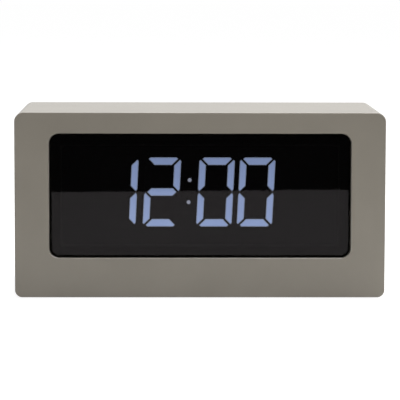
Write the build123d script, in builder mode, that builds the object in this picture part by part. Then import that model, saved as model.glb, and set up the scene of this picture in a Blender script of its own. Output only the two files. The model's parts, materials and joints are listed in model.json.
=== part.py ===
from build123d import *

import math
import os

os.makedirs("parts", exist_ok=True)

# A desk clock: a flat-sided box with a smoked window and a four-digit display.
# The origin is on the table under the middle of the box. The front looks along -Y.
# A name that ends in _front or _rear is a distance behind the front face.

# Housing
width = 160.0
depth = 75.0
housing_height = 80.1
corner_radius = 4.0
lower_corner_radius = 3.2
front_edge_radius = 0.35
rear_edge_chamfer = 0.3
wall = 2.5
overrun = 1.0

# Rubber feet
foot_radius = 5.0
foot_thick = 1.6
foot_proud = 0.8
foot_fit = 0.1
foot_side_inset = 15.0
foot_end_inset = 11.5
foot_edge_radius = 0.3

# Window and its ledge
window_side_margin = 14.8
window_top_margin = 8.97
window_bottom_margin = 17.2
window_radius = 4.3
window_edge_chamfer = 0.2
ledge_width = 5.5
ledge_thick = 1.8
ledge_rib = 2.0
sight_radius = 2.0

# Lens, tape and light seal
lens_recess = 0.4
lens_thick = 2.0
lens_gap = 0.3
lens_edge_chamfer = 0.9
tape_thick = 0.2
tape_width = 4.0
tape_inset = 0.5
seal_width = 3.0
seal_step = 0.5

# Digits: the row of four fills the sight opening but for these margins
digit_left_margin = 17.1
digit_right_margin = 27.7
digit_end_margin = 6.435
digit_slant = 2.8
digit_width_share = 0.2067
digit_pitch_shares = (0.2465, 0.3108, 0.235)
bar_thick = 3.35
stroke_thick = 3.0
segment_gap = 0.63
corner_cut = 1.6
bar_trim = 0.2
bar_corner_cut = 2.1
tip_cut = 0.6
tip_lift = 0.3
outer_tip = 1.3
middle_bar_inset = 1.35
display_rise = 1.45
colon_radius = 0.85
colon_pitch = 9.6
colon_rise = 0.4
colon_shift = 0.15

# Display module and its board
module_gap = 0.5
module_thick = 8.0
module_side_margin = 5.0
module_end_margin = 3.8
module_radius = 1.0
segment_fit = 0.03
epoxy_thick = 6.8
chip_size = 1.0
chip_thick = 0.7
chip_spread_share = 0.16
board_thick = 1.6
display_boss_offset = 1.3
display_boss_drop = 4.3
display_board_edge = 3.5
board_hole_fit = 0.2
driver_length = 15.4
driver_width = 7.5
driver_thick = 2.4
driver_shift = -20.0

# Bosses and screws
small_boss_radius = 2.5
small_screw_radius = 1.0
small_head_radius = 1.9
small_head_thick = 1.3
small_screw_bite = 5.0
rear_boss_radius = 4.6
rear_boss_inset = 4.4
rear_boss_length = 28.0
rear_screw_radius = 1.5
rear_head_radius = 2.7
rear_head_thick = 1.7
rear_screw_bite = 9.0
rear_head_pocket = 1.1
head_fit = 0.4
thread_fit = 0.02
shank_fit = 0.2
bore_end_room = 1.0
recess_width_share = 0.28
recess_length_share = 1.25
recess_depth_share = 0.55

# Rear cover
cover_recess = 1.2
cover_thick = 2.2
cover_gap = 0.25
cover_edge_chamfer = 0.3
board_standoff = 8.0

# Main board
board_side_gap = 11.5
board_top_gap = 3.5
board_bottom_gap = 11.0
board_notch_gap = 4.0
board_screw_inset = 5.0
board_lower_screw_rise = 16.0

# Buttons and tact switches, named from left to right as the front is seen
button_controls = ("set", "up", "down", "dim")
button_pitch = 16.0
button_row_inset = 26.0
button_radius = 3.5
button_gap = 0.3
button_proud = 1.0
button_edge_radius = 0.4
button_flange_radius = 4.8
button_flange_thick = 1.0
button_seat_gap = 0.1
button_stem_radius = 1.6
button_travel = 0.8
tact_size = 6.0
tact_thick = 3.5
plunger_radius = 1.75
plunger_proud = 1.2
plunger_depth = 1.2
plunger_fit = 0.05

# Slide switch
switch_spacing = 22.0
switch_length = 10.0
switch_width = 5.0
switch_thick = 4.0
switch_travel = 2.0
switch_slot_depth = 2.5
switch_gap = 0.3
stem_length = 2.0
stem_width = 1.6
knob_length = 3.0
knob_width = 2.4
knob_proud = 0.9
knob_groove = 0.3

# Power inlet
inlet_inset = 14.0
inlet_rise = 6.0
inlet_width = 8.9
inlet_height = 3.3
inlet_wall = 0.35
inlet_recess = 0.5
inlet_bore_depth = 6.5
inlet_gap = 0.3
tongue_width = 6.7
tongue_height = 0.7
tongue_setback = 0.8

# Buzzer
buzzer_radius = 6.0
buzzer_thick = 7.5
buzzer_hole_radius = 1.0
buzzer_hole_depth = 1.5
buzzer_side_inset = 26.0
buzzer_rise = 26.0
sound_hole_radius = 0.75
sound_ring_radius = 3.0
sound_hole_count = 6

# Battery pocket
cell_radius = 5.25
cell_length = 44.5
cell_edge_radius = 0.5
nub_radius = 1.9
nub_length = 0.8
cell_count = 3
cell_gap = 0.6
cell_floor_gap = 0.1
spring_room = 4.7
contact_thick = 0.4
contact_width = 8.0
contact_gap = 0.1
pocket_wall = 1.5
pocket_side_wall = 2.5
pocket_side_gap = 13.5
pocket_rise = 9.0

# Battery door
door_thick = 1.7
door_seat_gap = 0.1
door_lip = 1.2
door_gap = 0.3
hinge_radius = 1.6
pin_radius = 0.8
pin_length = 1.2
pin_fit = 0.05
pin_end_gap = 0.3
grip_radius = 6.0
grip_depth = 1.0
rib_count = 4
rib_pitch = 1.6
rib_groove = 0.8
rib_depth = 0.4
pad_thick = 1.0
pad_inset = 4.0
pad_gap = 0.3

# Springs of the battery contacts
spring_wire_radius = 0.25
spring_big_radius = 3.2
spring_small_radius = 1.9
spring_turns = 3

# Leads, ribbon and their connectors
lead_radius = 0.6
lead_bow = 7.0
lead_spread = 2.0
lead_arc_share = 0.45
tail_width = 2.4
tail_reach = 2.5
tail_gap = 0.3
plug_length = 8.0
plug_width = 4.5
plug_thick = 6.0
plug_inset = 20.0
ribbon_inset = 36.0
ribbon_width = 12.7
ribbon_thick = 0.7
ribbon_drop = 8.0
ribbon_straight_share = 0.3
ribbon_bend_radius = 5.0
header_length = 16.0
header_width = 5.0
header_thick = 6.0

# Parts on the front of the main board
controller_size = 10.0
controller_thick = 1.5
controller_side_inset = 14.0
controller_rise = 20.0
pin_row_reach = 1.0
pin_row_thick = 0.3
pin_size = 0.4
pin_pitch = 1.27
crystal_radius = 1.0
crystal_length = 6.0
crystal_gap = 4.0
capacitor_radii = (3.15, 4.0)
capacitor_heights = (11.0, 12.0)
capacitor_spacing = 11.0
capacitor_gap = 12.0
vent_width = 0.5
vent_depth = 0.3
regulator_width = 6.5
regulator_length = 3.5
regulator_thick = 1.7
regulator_tab_thick = 0.4
regulator_tab_length = 2.0
regulator_side_inset = 44.0

# Places of the housing and window
inner_width = width - 2 * wall
inner_height = housing_height - 2 * wall
inner_radius = corner_radius - wall
housing_z = foot_proud + housing_height / 2
inner_bottom = foot_proud + wall
inner_top = foot_proud + housing_height - wall
window_width = width - 2 * window_side_margin
window_height = housing_height - window_top_margin - window_bottom_margin
window_z = foot_proud + window_bottom_margin + window_height / 2
sight_width = window_width - 2 * ledge_width
sight_height = window_height - 2 * ledge_width

# Depths of the display stack
lens_rear = lens_recess + lens_thick
ledge_front = lens_rear + tape_thick
ledge_rear = ledge_front + ledge_thick
module_front = lens_rear + module_gap
display_board_front = module_front + module_thick
display_board_rear = display_board_front + board_thick

# Depths of the rear stack
cover_rear = depth - cover_recess
cover_front = cover_rear - cover_thick
main_board_rear = cover_front - board_standoff
main_board_front = main_board_rear - board_thick

# Places of the display
display_z = window_z + display_rise
digit_height = sight_height - 2 * digit_end_margin
digit_row = sight_width - digit_left_margin - digit_right_margin
digit_width = digit_row * digit_width_share
first_digit_x = -sight_width / 2 + digit_left_margin + digit_width / 2
digit_xs = [first_digit_x]
for pitch_share in digit_pitch_shares:
    digit_xs.append(digit_xs[-1] + digit_row * pitch_share)
display_x = (digit_xs[0] + digit_xs[-1]) / 2
colon_x = (digit_xs[1] + digit_xs[2]) / 2
module_width = digit_row + 2 * module_side_margin
module_height = digit_height + 2 * module_end_margin
display_boss_x = window_width / 2 + display_boss_offset
display_boss_z = window_height / 2 - display_boss_drop
display_board_width = 2 * (display_boss_x + display_board_edge)
display_board_height = 2 * (display_boss_z + display_board_edge)
display_screw_places = [
    (side * display_boss_x, window_z + level * display_boss_z) for side in (-1, 1) for level in (-1, 1)
]

# Places of the battery pocket
cell_pitch = 2 * cell_radius + cell_gap
pocket_length = cell_length + spring_room + 2 * contact_thick + contact_gap
pocket_height = cell_count * cell_pitch + cell_gap
door_width = pocket_length + 2 * door_lip
opening_width = door_width + 2 * door_gap
block_width = opening_width + 2 * pocket_side_wall
pocket_x = -inner_width / 2 + pocket_side_gap + block_width / 2
pocket_bottom = inner_bottom + pocket_rise
pocket_top = pocket_bottom + pocket_height
opening_bottom = pocket_bottom - pocket_wall - 2 * hinge_radius - 2 * door_gap
opening_top = pocket_top + door_lip + door_gap
opening_height = opening_top - opening_bottom
opening_z = (opening_top + opening_bottom) / 2
pocket_z = (pocket_top + pocket_bottom) / 2
door_front = cover_rear - door_thick
door_seat = door_front - door_seat_gap
pad_front = door_front - pad_thick
cell_y_depth = pad_front - pad_gap - cell_radius
pocket_floor = cell_y_depth - cell_radius - cell_floor_gap
pocket_front = pocket_floor - pocket_wall
hinge_depth = cover_rear - hinge_radius
hinge_z = opening_bottom + door_gap + hinge_radius
cell_zs = [pocket_z + (index - (cell_count - 1) / 2) * cell_pitch for index in range(cell_count)]

# Places of the main board
board_left = -inner_width / 2 + board_side_gap
board_right = -board_left
board_top = inner_top - board_top_gap
board_strip_bottom = pocket_top + pocket_wall + board_notch_gap
board_bottom = inner_bottom + board_bottom_gap
board_notch_x = pocket_x + block_width / 2 + board_notch_gap
row_z = (board_top + board_strip_bottom) / 2
button_xs = [board_left + button_row_inset + index * button_pitch for index in range(len(button_controls))]
switch_x = button_xs[-1] + switch_spacing
inlet_x = board_right - inlet_inset
inlet_z = board_bottom + inlet_rise
buzzer_x = board_right - buzzer_side_inset
buzzer_z = board_bottom + buzzer_rise
board_screw_places = [
    (board_left + board_screw_inset, board_top - board_screw_inset),
    (board_right - board_screw_inset, board_top - board_screw_inset),
    (board_notch_x + board_screw_inset, board_bottom + board_screw_inset),
    (board_right - board_screw_inset, board_bottom + board_lower_screw_rise),
]
rear_screw_places = [
    (side * (inner_width / 2 - rear_boss_inset), housing_z + level * (inner_height / 2 - rear_boss_inset))
    for side in (-1, 1)
    for level in (-1, 1)
]


# Tools of the drawing

def upright(distance):
    """Upright plane at a distance behind the front face; its sketch reads as X and Z."""
    return Plane.XZ.offset(depth / 2 - distance)


def y_at(distance):
    """Y of a point at a distance behind the front face."""
    return distance - depth / 2


def round_posts(places, radius, front, rear, mode=Mode.ADD):
    """Adds or cuts round posts that run from front to rear."""
    with BuildSketch(upright(rear)) as outline:
        with Locations(*places):
            Circle(radius)
    extrude(outline.sketch, amount=rear - front, mode=mode)


def blocks(places, size_x, size_z, front, rear, mode=Mode.ADD):
    """Adds or cuts square-cornered blocks that run from front to rear."""
    with BuildSketch(upright(rear)) as outline:
        with Locations(*places):
            Rectangle(size_x, size_z)
    extrude(outline.sketch, amount=rear - front, mode=mode)


def rounded_block(place, size_x, size_z, radius, front, rear, mode=Mode.ADD):
    """Adds or cuts one block with rounded long edges."""
    with BuildSketch(upright(rear)) as outline:
        with Locations(place):
            RectangleRounded(size_x, size_z, radius)
    extrude(outline.sketch, amount=rear - front, mode=mode)


def cross_recess(places, head_radius, head_thick, head_face, inward):
    """Cuts a cross in each screw head; inward is 1 when the head looks forward, -1 when it looks back."""
    recess_width = head_radius * recess_width_share
    recess_length = head_radius * recess_length_share
    recess_floor = head_face + inward * head_thick * recess_depth_share
    front = min(head_face, recess_floor)
    rear = max(head_face, recess_floor)
    blocks(places, recess_width, recess_length, front, rear, Mode.SUBTRACT)
    blocks(places, recess_length, recess_width, front, rear, Mode.SUBTRACT)


# Front housing: a five-sided box, open at the back, with the window and its ledge

with BuildPart() as front_housing:
    with BuildSketch(upright(depth)) as outline:
        with Locations((0, housing_z)):
            Rectangle(width, housing_height)
        fillet(outline.vertices().group_by(Axis.Y)[0], radius=lower_corner_radius)
        fillet(outline.vertices().group_by(Axis.Y)[-1], radius=corner_radius)
    extrude(amount=depth)
    fillet(front_housing.faces().sort_by(Axis.Y)[0].edges(), radius=front_edge_radius)
    chamfer(front_housing.faces().sort_by(Axis.Y)[-1].edges(), length=rear_edge_chamfer)
    rounded_block((0, housing_z), inner_width, inner_height, inner_radius, wall, depth, Mode.SUBTRACT)
    rounded_block(
        (0, window_z), window_width + 2 * ledge_rib, window_height + 2 * ledge_rib,
        window_radius + ledge_rib, wall, ledge_rear,
    )
    round_posts(display_screw_places, small_boss_radius, wall, display_board_front)
    round_posts(rear_screw_places, rear_boss_radius, cover_front - rear_boss_length, cover_front)
    rounded_block(
        (0, window_z), window_width, window_height, window_radius, -overrun, ledge_front, Mode.SUBTRACT
    )
    rounded_block(
        (0, window_z), sight_width, sight_height, sight_radius, ledge_front, ledge_rear, Mode.SUBTRACT
    )
    round_posts(
        display_screw_places, small_screw_radius + thread_fit,
        display_board_front - small_screw_bite - bore_end_room, display_board_front, Mode.SUBTRACT,
    )
    round_posts(
        rear_screw_places, rear_screw_radius + thread_fit,
        cover_front - rear_screw_bite - bore_end_room, cover_front, Mode.SUBTRACT,
    )
    window_edges = front_housing.faces().sort_by(Axis.Y)[0].inner_wires()[0].edges()
    chamfer(window_edges, length=window_edge_chamfer)
    foot_x = width / 2 - foot_side_inset
    foot_y = depth / 2 - foot_end_inset
    with BuildSketch(Plane.XY.offset(foot_proud)):
        with GridLocations(2 * foot_x, 2 * foot_y, 2, 2):
            Circle(foot_radius + foot_fit)
    extrude(amount=foot_thick - foot_proud, mode=Mode.SUBTRACT)
front_housing.part.label = "front_housing"
export_step(front_housing.part, "parts/front_housing.step")

# Rubber feet, each stuck in a shallow pocket of the underside

foot_names = {(-1, -1): "foot_front_left", (1, -1): "foot_front_right",
              (-1, 1): "foot_rear_left", (1, 1): "foot_rear_right"}
for (side, end), foot_name in foot_names.items():
    with BuildPart() as foot:
        with BuildSketch(Plane.XY):
            with Locations((side * foot_x, end * foot_y)):
                Circle(foot_radius)
        extrude(amount=foot_thick)
        fillet(foot.faces().sort_by(Axis.Z)[0].edges(), radius=foot_edge_radius)
    foot.part.label = foot_name
    export_step(foot.part, f"parts/{foot_name}.step")

# Lens: a smoked gloss plate, a little below the front face

with BuildPart() as lens:
    rounded_block(
        (0, window_z), window_width - 2 * lens_gap, window_height - 2 * lens_gap,
        window_radius - lens_gap, lens_recess, lens_rear,
    )
    chamfer(lens.faces().sort_by(Axis.Y)[0].edges(), length=lens_edge_chamfer)
lens.part.label = "lens"
export_step(lens.part, "parts/lens.step")

# Tape: a thin ring between the lens and the ledge

tape_trim = 2 * (lens_gap + tape_inset)
tape_outer_radius = window_radius - lens_gap - tape_inset
with BuildPart() as lens_tape:
    rounded_block(
        (0, window_z), window_width - tape_trim, window_height - tape_trim,
        tape_outer_radius, lens_rear, ledge_front,
    )
    blocks(
        [(0, window_z)], window_width - tape_trim - 2 * tape_width,
        window_height - tape_trim - 2 * tape_width, lens_rear, ledge_front, Mode.SUBTRACT,
    )
lens_tape.part.label = "lens_tape"
export_step(lens_tape.part, "parts/lens_tape.step")

# Light seal: a foam ring from the ledge back to the display board

seal_inner_width = sight_width + 2 * seal_step
seal_inner_height = sight_height + 2 * seal_step
with BuildPart() as light_seal:
    blocks(
        [(0, window_z)], seal_inner_width + 2 * seal_width, seal_inner_height + 2 * seal_width,
        ledge_rear, display_board_front,
    )
    blocks([(0, window_z)], seal_inner_width, seal_inner_height,
           ledge_rear, display_board_front, Mode.SUBTRACT)
light_seal.part.label = "light_seal"
export_step(light_seal.part, "parts/light_seal.step")


# Segments of a digit, drawn about its centre and then slanted

def segment_corners(letter):
    """Corners of one segment about the digit's centre, before the slant."""
    half_width = digit_width / 2
    half_height = digit_height / 2
    mitre = segment_gap / math.sqrt(2)
    near_cut = (corner_cut - mitre) / 2
    far_cut = (corner_cut + mitre) / 2
    bar_mitre = mitre + bar_trim
    bar_near_cut = (bar_corner_cut - bar_mitre) / 2
    bar_far_cut = (bar_corner_cut + bar_mitre) / 2
    half_bar = bar_thick / 2
    bar = [
        (-half_width + bar_corner_cut, half_height),
        (half_width - bar_corner_cut, half_height),
        (half_width - bar_far_cut, half_height - bar_near_cut),
        (half_width - bar_thick - bar_mitre, half_height - bar_thick),
        (-half_width + bar_thick + bar_mitre, half_height - bar_thick),
        (-half_width + bar_far_cut, half_height - bar_near_cut),
    ]
    stroke = [
        (-half_width, half_height - corner_cut),
        (-half_width + near_cut, half_height - far_cut),
        (-half_width + stroke_thick, half_height - stroke_thick - mitre),
        (-half_width + stroke_thick, stroke_thick - tip_lift),
        (-half_width + tip_cut, tip_cut - tip_lift),
        (-half_width, outer_tip),
    ]
    middle = [
        (-half_width + middle_bar_inset, 0),
        (-half_width + middle_bar_inset + half_bar, half_bar),
        (half_width - middle_bar_inset - half_bar, half_bar),
        (half_width - middle_bar_inset, 0),
        (half_width - middle_bar_inset - half_bar, -half_bar),
        (-half_width + middle_bar_inset + half_bar, -half_bar),
    ]
    outlines = {
        "a": (bar, 1, 1), "b": (stroke, -1, 1), "c": (stroke, -1, -1), "d": (bar, 1, -1),
        "e": (stroke, 1, -1), "f": (stroke, 1, 1), "g": (middle, 1, 1),
    }
    corners, flip_x, flip_z = outlines[letter]
    return [(x * flip_x, z * flip_z) for x, z in corners]


def slanted(point, centre_x):
    """Point of the display plane, leaned to the right with height."""
    x, z = point
    return (centre_x + x + z * math.tan(math.radians(digit_slant)), display_z + z)


def draw_segments(centre_x, letters):
    """Draws the named segments of one digit in the current sketch."""
    for letter in letters:
        Polygon(*[slanted(corner, centre_x) for corner in segment_corners(letter)], align=None)


colon_places = [slanted((colon_shift, colon_rise + level * colon_pitch / 2), colon_x) for level in (-1, 1)]
shown_segments = ("bc", "abged", "abcdef", "abcdef")
all_segments = "abcdefg"

# Reflector: a block with one well per segment, open at both ends

with BuildPart() as display_reflector:
    rounded_block(
        (display_x, display_z), module_width, module_height, module_radius,
        module_front, display_board_front,
    )
    with BuildSketch(upright(display_board_front)):
        for digit_x in digit_xs:
            draw_segments(digit_x, all_segments)
        with Locations(*colon_places):
            Circle(colon_radius + segment_fit)
    extrude(amount=module_thick, mode=Mode.SUBTRACT)
display_reflector.part.label = "display_reflector"
export_step(display_reflector.part, "parts/display_reflector.step")

# Clear resin in the wells, one node for the lit and one for the dark segments of each digit

segment_rear = module_front + epoxy_thick
for number, (digit_x, shown) in enumerate(zip(digit_xs, shown_segments), start=1):
    dark = [letter for letter in all_segments if letter not in shown]
    for state, letters in (("lit", shown), ("unlit", dark)):
        with BuildPart() as digit:
            with BuildSketch(upright(segment_rear)):
                draw_segments(digit_x, letters)
                offset(amount=-segment_fit, kind=Kind.INTERSECTION)
            extrude(amount=epoxy_thick)
        digit.part.label = f"digit_{number}_{state}"
        export_step(digit.part, f"parts/digit_{number}_{state}.step")

with BuildPart() as colon_dots:
    round_posts(colon_places, colon_radius, module_front, segment_rear)
colon_dots.part.label = "colon_dots"
export_step(colon_dots.part, "parts/colon_dots.step")


# LED chips at the bottom of the wells

def chip_places(letter):
    """Two places on the middle line of a segment, about the digit's centre."""
    bar_z = digit_height / 2 - bar_thick / 2
    stroke_x = digit_width / 2 - stroke_thick / 2
    stroke_z = digit_height / 4
    centres = {
        "a": (0, bar_z), "b": (stroke_x, stroke_z), "c": (stroke_x, -stroke_z), "d": (0, -bar_z),
        "e": (-stroke_x, -stroke_z), "f": (-stroke_x, stroke_z), "g": (0, 0),
    }
    x, z = centres[letter]
    if letter in "adg":
        spread = digit_width * chip_spread_share
        return [(x - spread, z), (x + spread, z)]
    spread = digit_height / 2 * chip_spread_share
    return [(x, z - spread), (x, z + spread)]


all_chip_places = list(colon_places)
for digit_x in digit_xs:
    for letter in all_segments:
        all_chip_places += [slanted(place, digit_x) for place in chip_places(letter)]

with BuildPart() as led_chips:
    blocks(all_chip_places, chip_size, chip_size, display_board_front - chip_thick, display_board_front)
led_chips.part.label = "led_chips"
export_step(led_chips.part, "parts/led_chips.step")

# Display board, its driver chip and its screws

with BuildPart() as display_board:
    blocks([(0, window_z)], display_board_width, display_board_height,
           display_board_front, display_board_rear)
    round_posts(
        display_screw_places, small_screw_radius + board_hole_fit,
        display_board_front, display_board_rear, Mode.SUBTRACT,
    )
display_board.part.label = "display_board"
export_step(display_board.part, "parts/display_board.step")

driver_pins = int((driver_length - pin_pitch) / pin_pitch)
with BuildPart() as display_driver:
    blocks([(driver_shift, window_z)], driver_length, driver_width,
           display_board_rear, display_board_rear + driver_thick)
    with BuildSketch(upright(display_board_rear + pin_row_thick)):
        with Locations((driver_shift, window_z)):
            with GridLocations(pin_pitch, driver_width + pin_row_reach, driver_pins, 2):
                Rectangle(pin_size, pin_row_reach)
    extrude(amount=pin_row_thick)
display_driver.part.label = "display_driver"
export_step(display_driver.part, "parts/display_driver.step")

display_head_rear = display_board_rear + small_head_thick
with BuildPart() as display_screws:
    round_posts(display_screw_places, small_screw_radius,
                display_board_front - small_screw_bite, display_board_rear)
    round_posts(display_screw_places, small_head_radius, display_board_rear, display_head_rear)
    cross_recess(display_screw_places, small_head_radius, small_head_thick, display_head_rear, -1)
display_screws.part.label = "display_screws"
export_step(display_screws.part, "parts/display_screws.step")

# Main board: an L beside and above the battery pocket

with BuildPart() as main_board:
    with BuildSketch(upright(main_board_rear)):
        with BuildLine():
            Polyline(
                (board_left, board_top), (board_right, board_top), (board_right, board_bottom),
                (board_notch_x, board_bottom), (board_notch_x, board_strip_bottom),
                (board_left, board_strip_bottom), close=True,
            )
        make_face()
    extrude(amount=board_thick)
    round_posts(board_screw_places, small_screw_radius + board_hole_fit,
                main_board_front, main_board_rear, Mode.SUBTRACT)
main_board.part.label = "main_board"
export_step(main_board.part, "parts/main_board.step")

board_head_front = main_board_front - small_head_thick
with BuildPart() as board_screws:
    round_posts(board_screw_places, small_screw_radius,
                main_board_front, main_board_rear + small_screw_bite)
    round_posts(board_screw_places, small_head_radius, board_head_front, main_board_front)
    cross_recess(board_screw_places, small_head_radius, small_head_thick, board_head_front, 1)
board_screws.part.label = "board_screws"
export_step(board_screws.part, "parts/board_screws.step")

# Controller chip with pins on all four sides

controller_x = board_notch_x + controller_side_inset
controller_z = board_bottom + controller_rise
controller_pins = int((controller_size - pin_pitch) / pin_pitch)
with BuildPart() as microcontroller:
    blocks([(controller_x, controller_z)], controller_size, controller_size,
           main_board_front - controller_thick, main_board_front)
    with BuildSketch(upright(main_board_front)):
        with Locations((controller_x, controller_z)):
            with GridLocations(pin_pitch, controller_size + pin_row_reach, controller_pins, 2):
                Rectangle(pin_size, pin_row_reach)
            with GridLocations(controller_size + pin_row_reach, pin_pitch, 2, controller_pins):
                Rectangle(pin_row_reach, pin_size)
    extrude(amount=pin_row_thick)
microcontroller.part.label = "microcontroller"
export_step(microcontroller.part, "parts/microcontroller.step")

# Crystal: a small can that lies on the board under the controller

crystal_z = controller_z - controller_size / 2 - pin_row_reach - crystal_gap
with BuildPart() as clock_crystal:
    with BuildSketch(Plane.YZ.offset(controller_x - crystal_length / 2)):
        with Locations((y_at(main_board_front - crystal_radius), crystal_z)):
            Circle(crystal_radius)
    extrude(amount=crystal_length)
clock_crystal.part.label = "clock_crystal"
export_step(clock_crystal.part, "parts/clock_crystal.step")

# Filter capacitors: cans that stand on the front of the board, with a scored vent

regulator_x = board_right - regulator_side_inset
regulator_z = row_z
capacitor_places = [
    (regulator_x - capacitor_gap - index * capacitor_spacing, row_z)
    for index in range(len(capacitor_radii))
]
with BuildPart() as filter_capacitors:
    for place, can_radius, can_height in zip(capacitor_places, capacitor_radii, capacitor_heights):
        can_front = main_board_front - can_height
        round_posts([place], can_radius, can_front, main_board_front)
        blocks([place], 2 * can_radius, vent_width, can_front, can_front + vent_depth, Mode.SUBTRACT)
filter_capacitors.part.label = "filter_capacitors"
export_step(filter_capacitors.part, "parts/filter_capacitors.step")

# Voltage regulator with its solder tab

with BuildPart() as voltage_regulator:
    blocks([(regulator_x, regulator_z)], regulator_width, regulator_length,
           main_board_front - regulator_thick, main_board_front)
    tab_z = regulator_z + regulator_length / 2 + regulator_tab_length / 2
    blocks([(regulator_x, tab_z)], regulator_length, regulator_tab_length,
           main_board_front - regulator_tab_thick, main_board_front)
voltage_regulator.part.label = "voltage_regulator"
export_step(voltage_regulator.part, "parts/voltage_regulator.step")

# Buzzer behind the sound holes of the rear cover

buzzer_rear = main_board_rear + buzzer_thick
with BuildPart() as buzzer:
    round_posts([(buzzer_x, buzzer_z)], buzzer_radius, main_board_rear, buzzer_rear)
    round_posts([(buzzer_x, buzzer_z)], buzzer_hole_radius, buzzer_rear - buzzer_hole_depth, buzzer_rear,
                Mode.SUBTRACT)
buzzer.part.label = "buzzer"
export_step(buzzer.part, "parts/buzzer.step")

# Tact switches, one behind each button

tact_rear = main_board_rear + tact_thick
plunger_rear = tact_rear + plunger_proud
plunger_front = tact_rear - plunger_depth
button_places = [(button_x, row_z) for button_x in button_xs]
with BuildPart() as tact_switch_bodies:
    blocks(button_places, tact_size, tact_size, main_board_rear, tact_rear)
    round_posts(button_places, plunger_radius + plunger_fit,
                plunger_front - button_travel - plunger_fit, tact_rear, Mode.SUBTRACT)
tact_switch_bodies.part.label = "tact_switch_bodies"
export_step(tact_switch_bodies.part, "parts/tact_switch_bodies.step")

# Buttons and the plungers that they press

flange_rear = cover_front - button_seat_gap
flange_front = flange_rear - button_flange_thick
cap_rear = cover_rear + button_proud
for control, place in zip(button_controls, button_places):
    with BuildPart() as button:
        round_posts([place], button_radius, flange_rear, cap_rear)
        fillet(button.faces().sort_by(Axis.Y)[-1].edges(), radius=button_edge_radius)
        round_posts([place], button_flange_radius, flange_front, flange_rear)
        round_posts([place], button_stem_radius, plunger_rear, flange_front)
    button.part.label = f"button_{control}"
    export_step(button.part, f"parts/button_{control}.step")

    with BuildPart() as plunger:
        round_posts([place], plunger_radius, plunger_front, plunger_rear)
    plunger.part.label = f"plunger_{control}"
    export_step(plunger.part, f"parts/plunger_{control}.step")

# Slide switch: its body has a slot, in which the stem of the knob runs

switch_rear = main_board_rear + switch_thick
slot_floor = switch_rear - switch_slot_depth
slot_x = switch_x + switch_travel / 2
with BuildPart() as slide_switch_body:
    blocks([(slot_x, row_z)], switch_length, switch_width, main_board_rear, switch_rear)
    blocks([(slot_x, row_z)], stem_length + switch_travel + 2 * switch_gap, stem_width + 2 * switch_gap,
           slot_floor, switch_rear, Mode.SUBTRACT)
slide_switch_body.part.label = "slide_switch_body"
export_step(slide_switch_body.part, "parts/slide_switch_body.step")

knob_front = switch_rear + switch_gap
knob_rear = cover_rear + knob_proud
with BuildPart() as slide_switch_knob:
    blocks([(switch_x, row_z)], knob_length, knob_width, knob_front, knob_rear)
    blocks([(switch_x, row_z)], stem_length, stem_width, slot_floor + switch_gap, knob_front)
    groove_places = [(switch_x + step * knob_length / 4, row_z) for step in (-1, 0, 1)]
    blocks(groove_places, knob_groove, knob_width, knob_rear - knob_groove, knob_rear, Mode.SUBTRACT)
slide_switch_knob.part.label = "slide_switch_knob"
export_step(slide_switch_knob.part, "parts/slide_switch_knob.step")

# Power inlet: a metal shell with a flat tongue inside

inlet_rear = cover_rear - inlet_recess
inlet_floor = inlet_rear - inlet_bore_depth
bore_width = inlet_width - 2 * inlet_wall
bore_height = inlet_height - 2 * inlet_wall
with BuildPart() as usb_inlet_shell:
    with BuildSketch(upright(inlet_rear)):
        with Locations((inlet_x, inlet_z)):
            SlotOverall(inlet_width, inlet_height)
    extrude(amount=inlet_rear - main_board_rear)
    with BuildSketch(upright(inlet_rear)):
        with Locations((inlet_x, inlet_z)):
            SlotOverall(bore_width, bore_height)
    extrude(amount=inlet_bore_depth, mode=Mode.SUBTRACT)
usb_inlet_shell.part.label = "usb_inlet_shell"
export_step(usb_inlet_shell.part, "parts/usb_inlet_shell.step")

with BuildPart() as usb_inlet_tongue:
    blocks([(inlet_x, inlet_z)], tongue_width, tongue_height, inlet_floor, inlet_rear - tongue_setback)
usb_inlet_tongue.part.label = "usb_inlet_tongue"
export_step(usb_inlet_tongue.part, "parts/usb_inlet_tongue.step")

# Contact plates: a shared and a single plate at each end of the pocket

plate_left_x = pocket_x - pocket_length / 2 + contact_thick / 2
plate_right_x = pocket_x + pocket_length / 2 - contact_thick / 2
pair_height = contact_width + cell_pitch
tail_front = pocket_front - tail_reach
contact_rear = pad_front - pad_gap
left_single_z = cell_zs[0]
right_single_z = cell_zs[-1]
left_pair_z = (cell_zs[1] + cell_zs[2]) / 2
right_pair_z = (cell_zs[0] + cell_zs[1]) / 2
with BuildPart() as battery_contacts:
    blocks([(plate_left_x, left_pair_z), (plate_right_x, right_pair_z)], contact_thick, pair_height,
           pocket_floor, contact_rear)
    blocks([(plate_left_x, left_single_z), (plate_right_x, right_single_z)], contact_thick, contact_width,
           pocket_floor, contact_rear)
    blocks([(plate_left_x, left_single_z), (plate_right_x, right_single_z)], contact_thick, tail_width,
           tail_front, pocket_floor)
battery_contacts.part.label = "battery_contacts"
export_step(battery_contacts.part, "parts/battery_contacts.step")

# Cells: neighbours lie head to tail, so that the plates join them in series

cell_ways = [1 if index % 2 == 0 else -1 for index in range(cell_count)]
nub_end = pocket_length / 2 - contact_thick - contact_gap
for number, (cell_z, way) in enumerate(zip(cell_zs, cell_ways), start=1):
    with BuildPart() as cell:
        nub_x = pocket_x + way * nub_end
        body_x = nub_x - way * nub_length
        with BuildSketch(Plane(origin=(body_x, y_at(cell_y_depth), cell_z), z_dir=(-way, 0, 0))):
            Circle(cell_radius)
        extrude(amount=cell_length - nub_length)
        fillet(cell.edges().filter_by(GeomType.CIRCLE), radius=cell_edge_radius)
        with BuildSketch(Plane(origin=(body_x, y_at(cell_y_depth), cell_z), z_dir=(way, 0, 0))):
            Circle(nub_radius)
        extrude(amount=nub_length)
    cell.part.label = f"battery_cell_{number}"
    export_step(cell.part, f"parts/battery_cell_{number}.step")

# Contact springs: a cone of wire at the flat end of each cell

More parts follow.
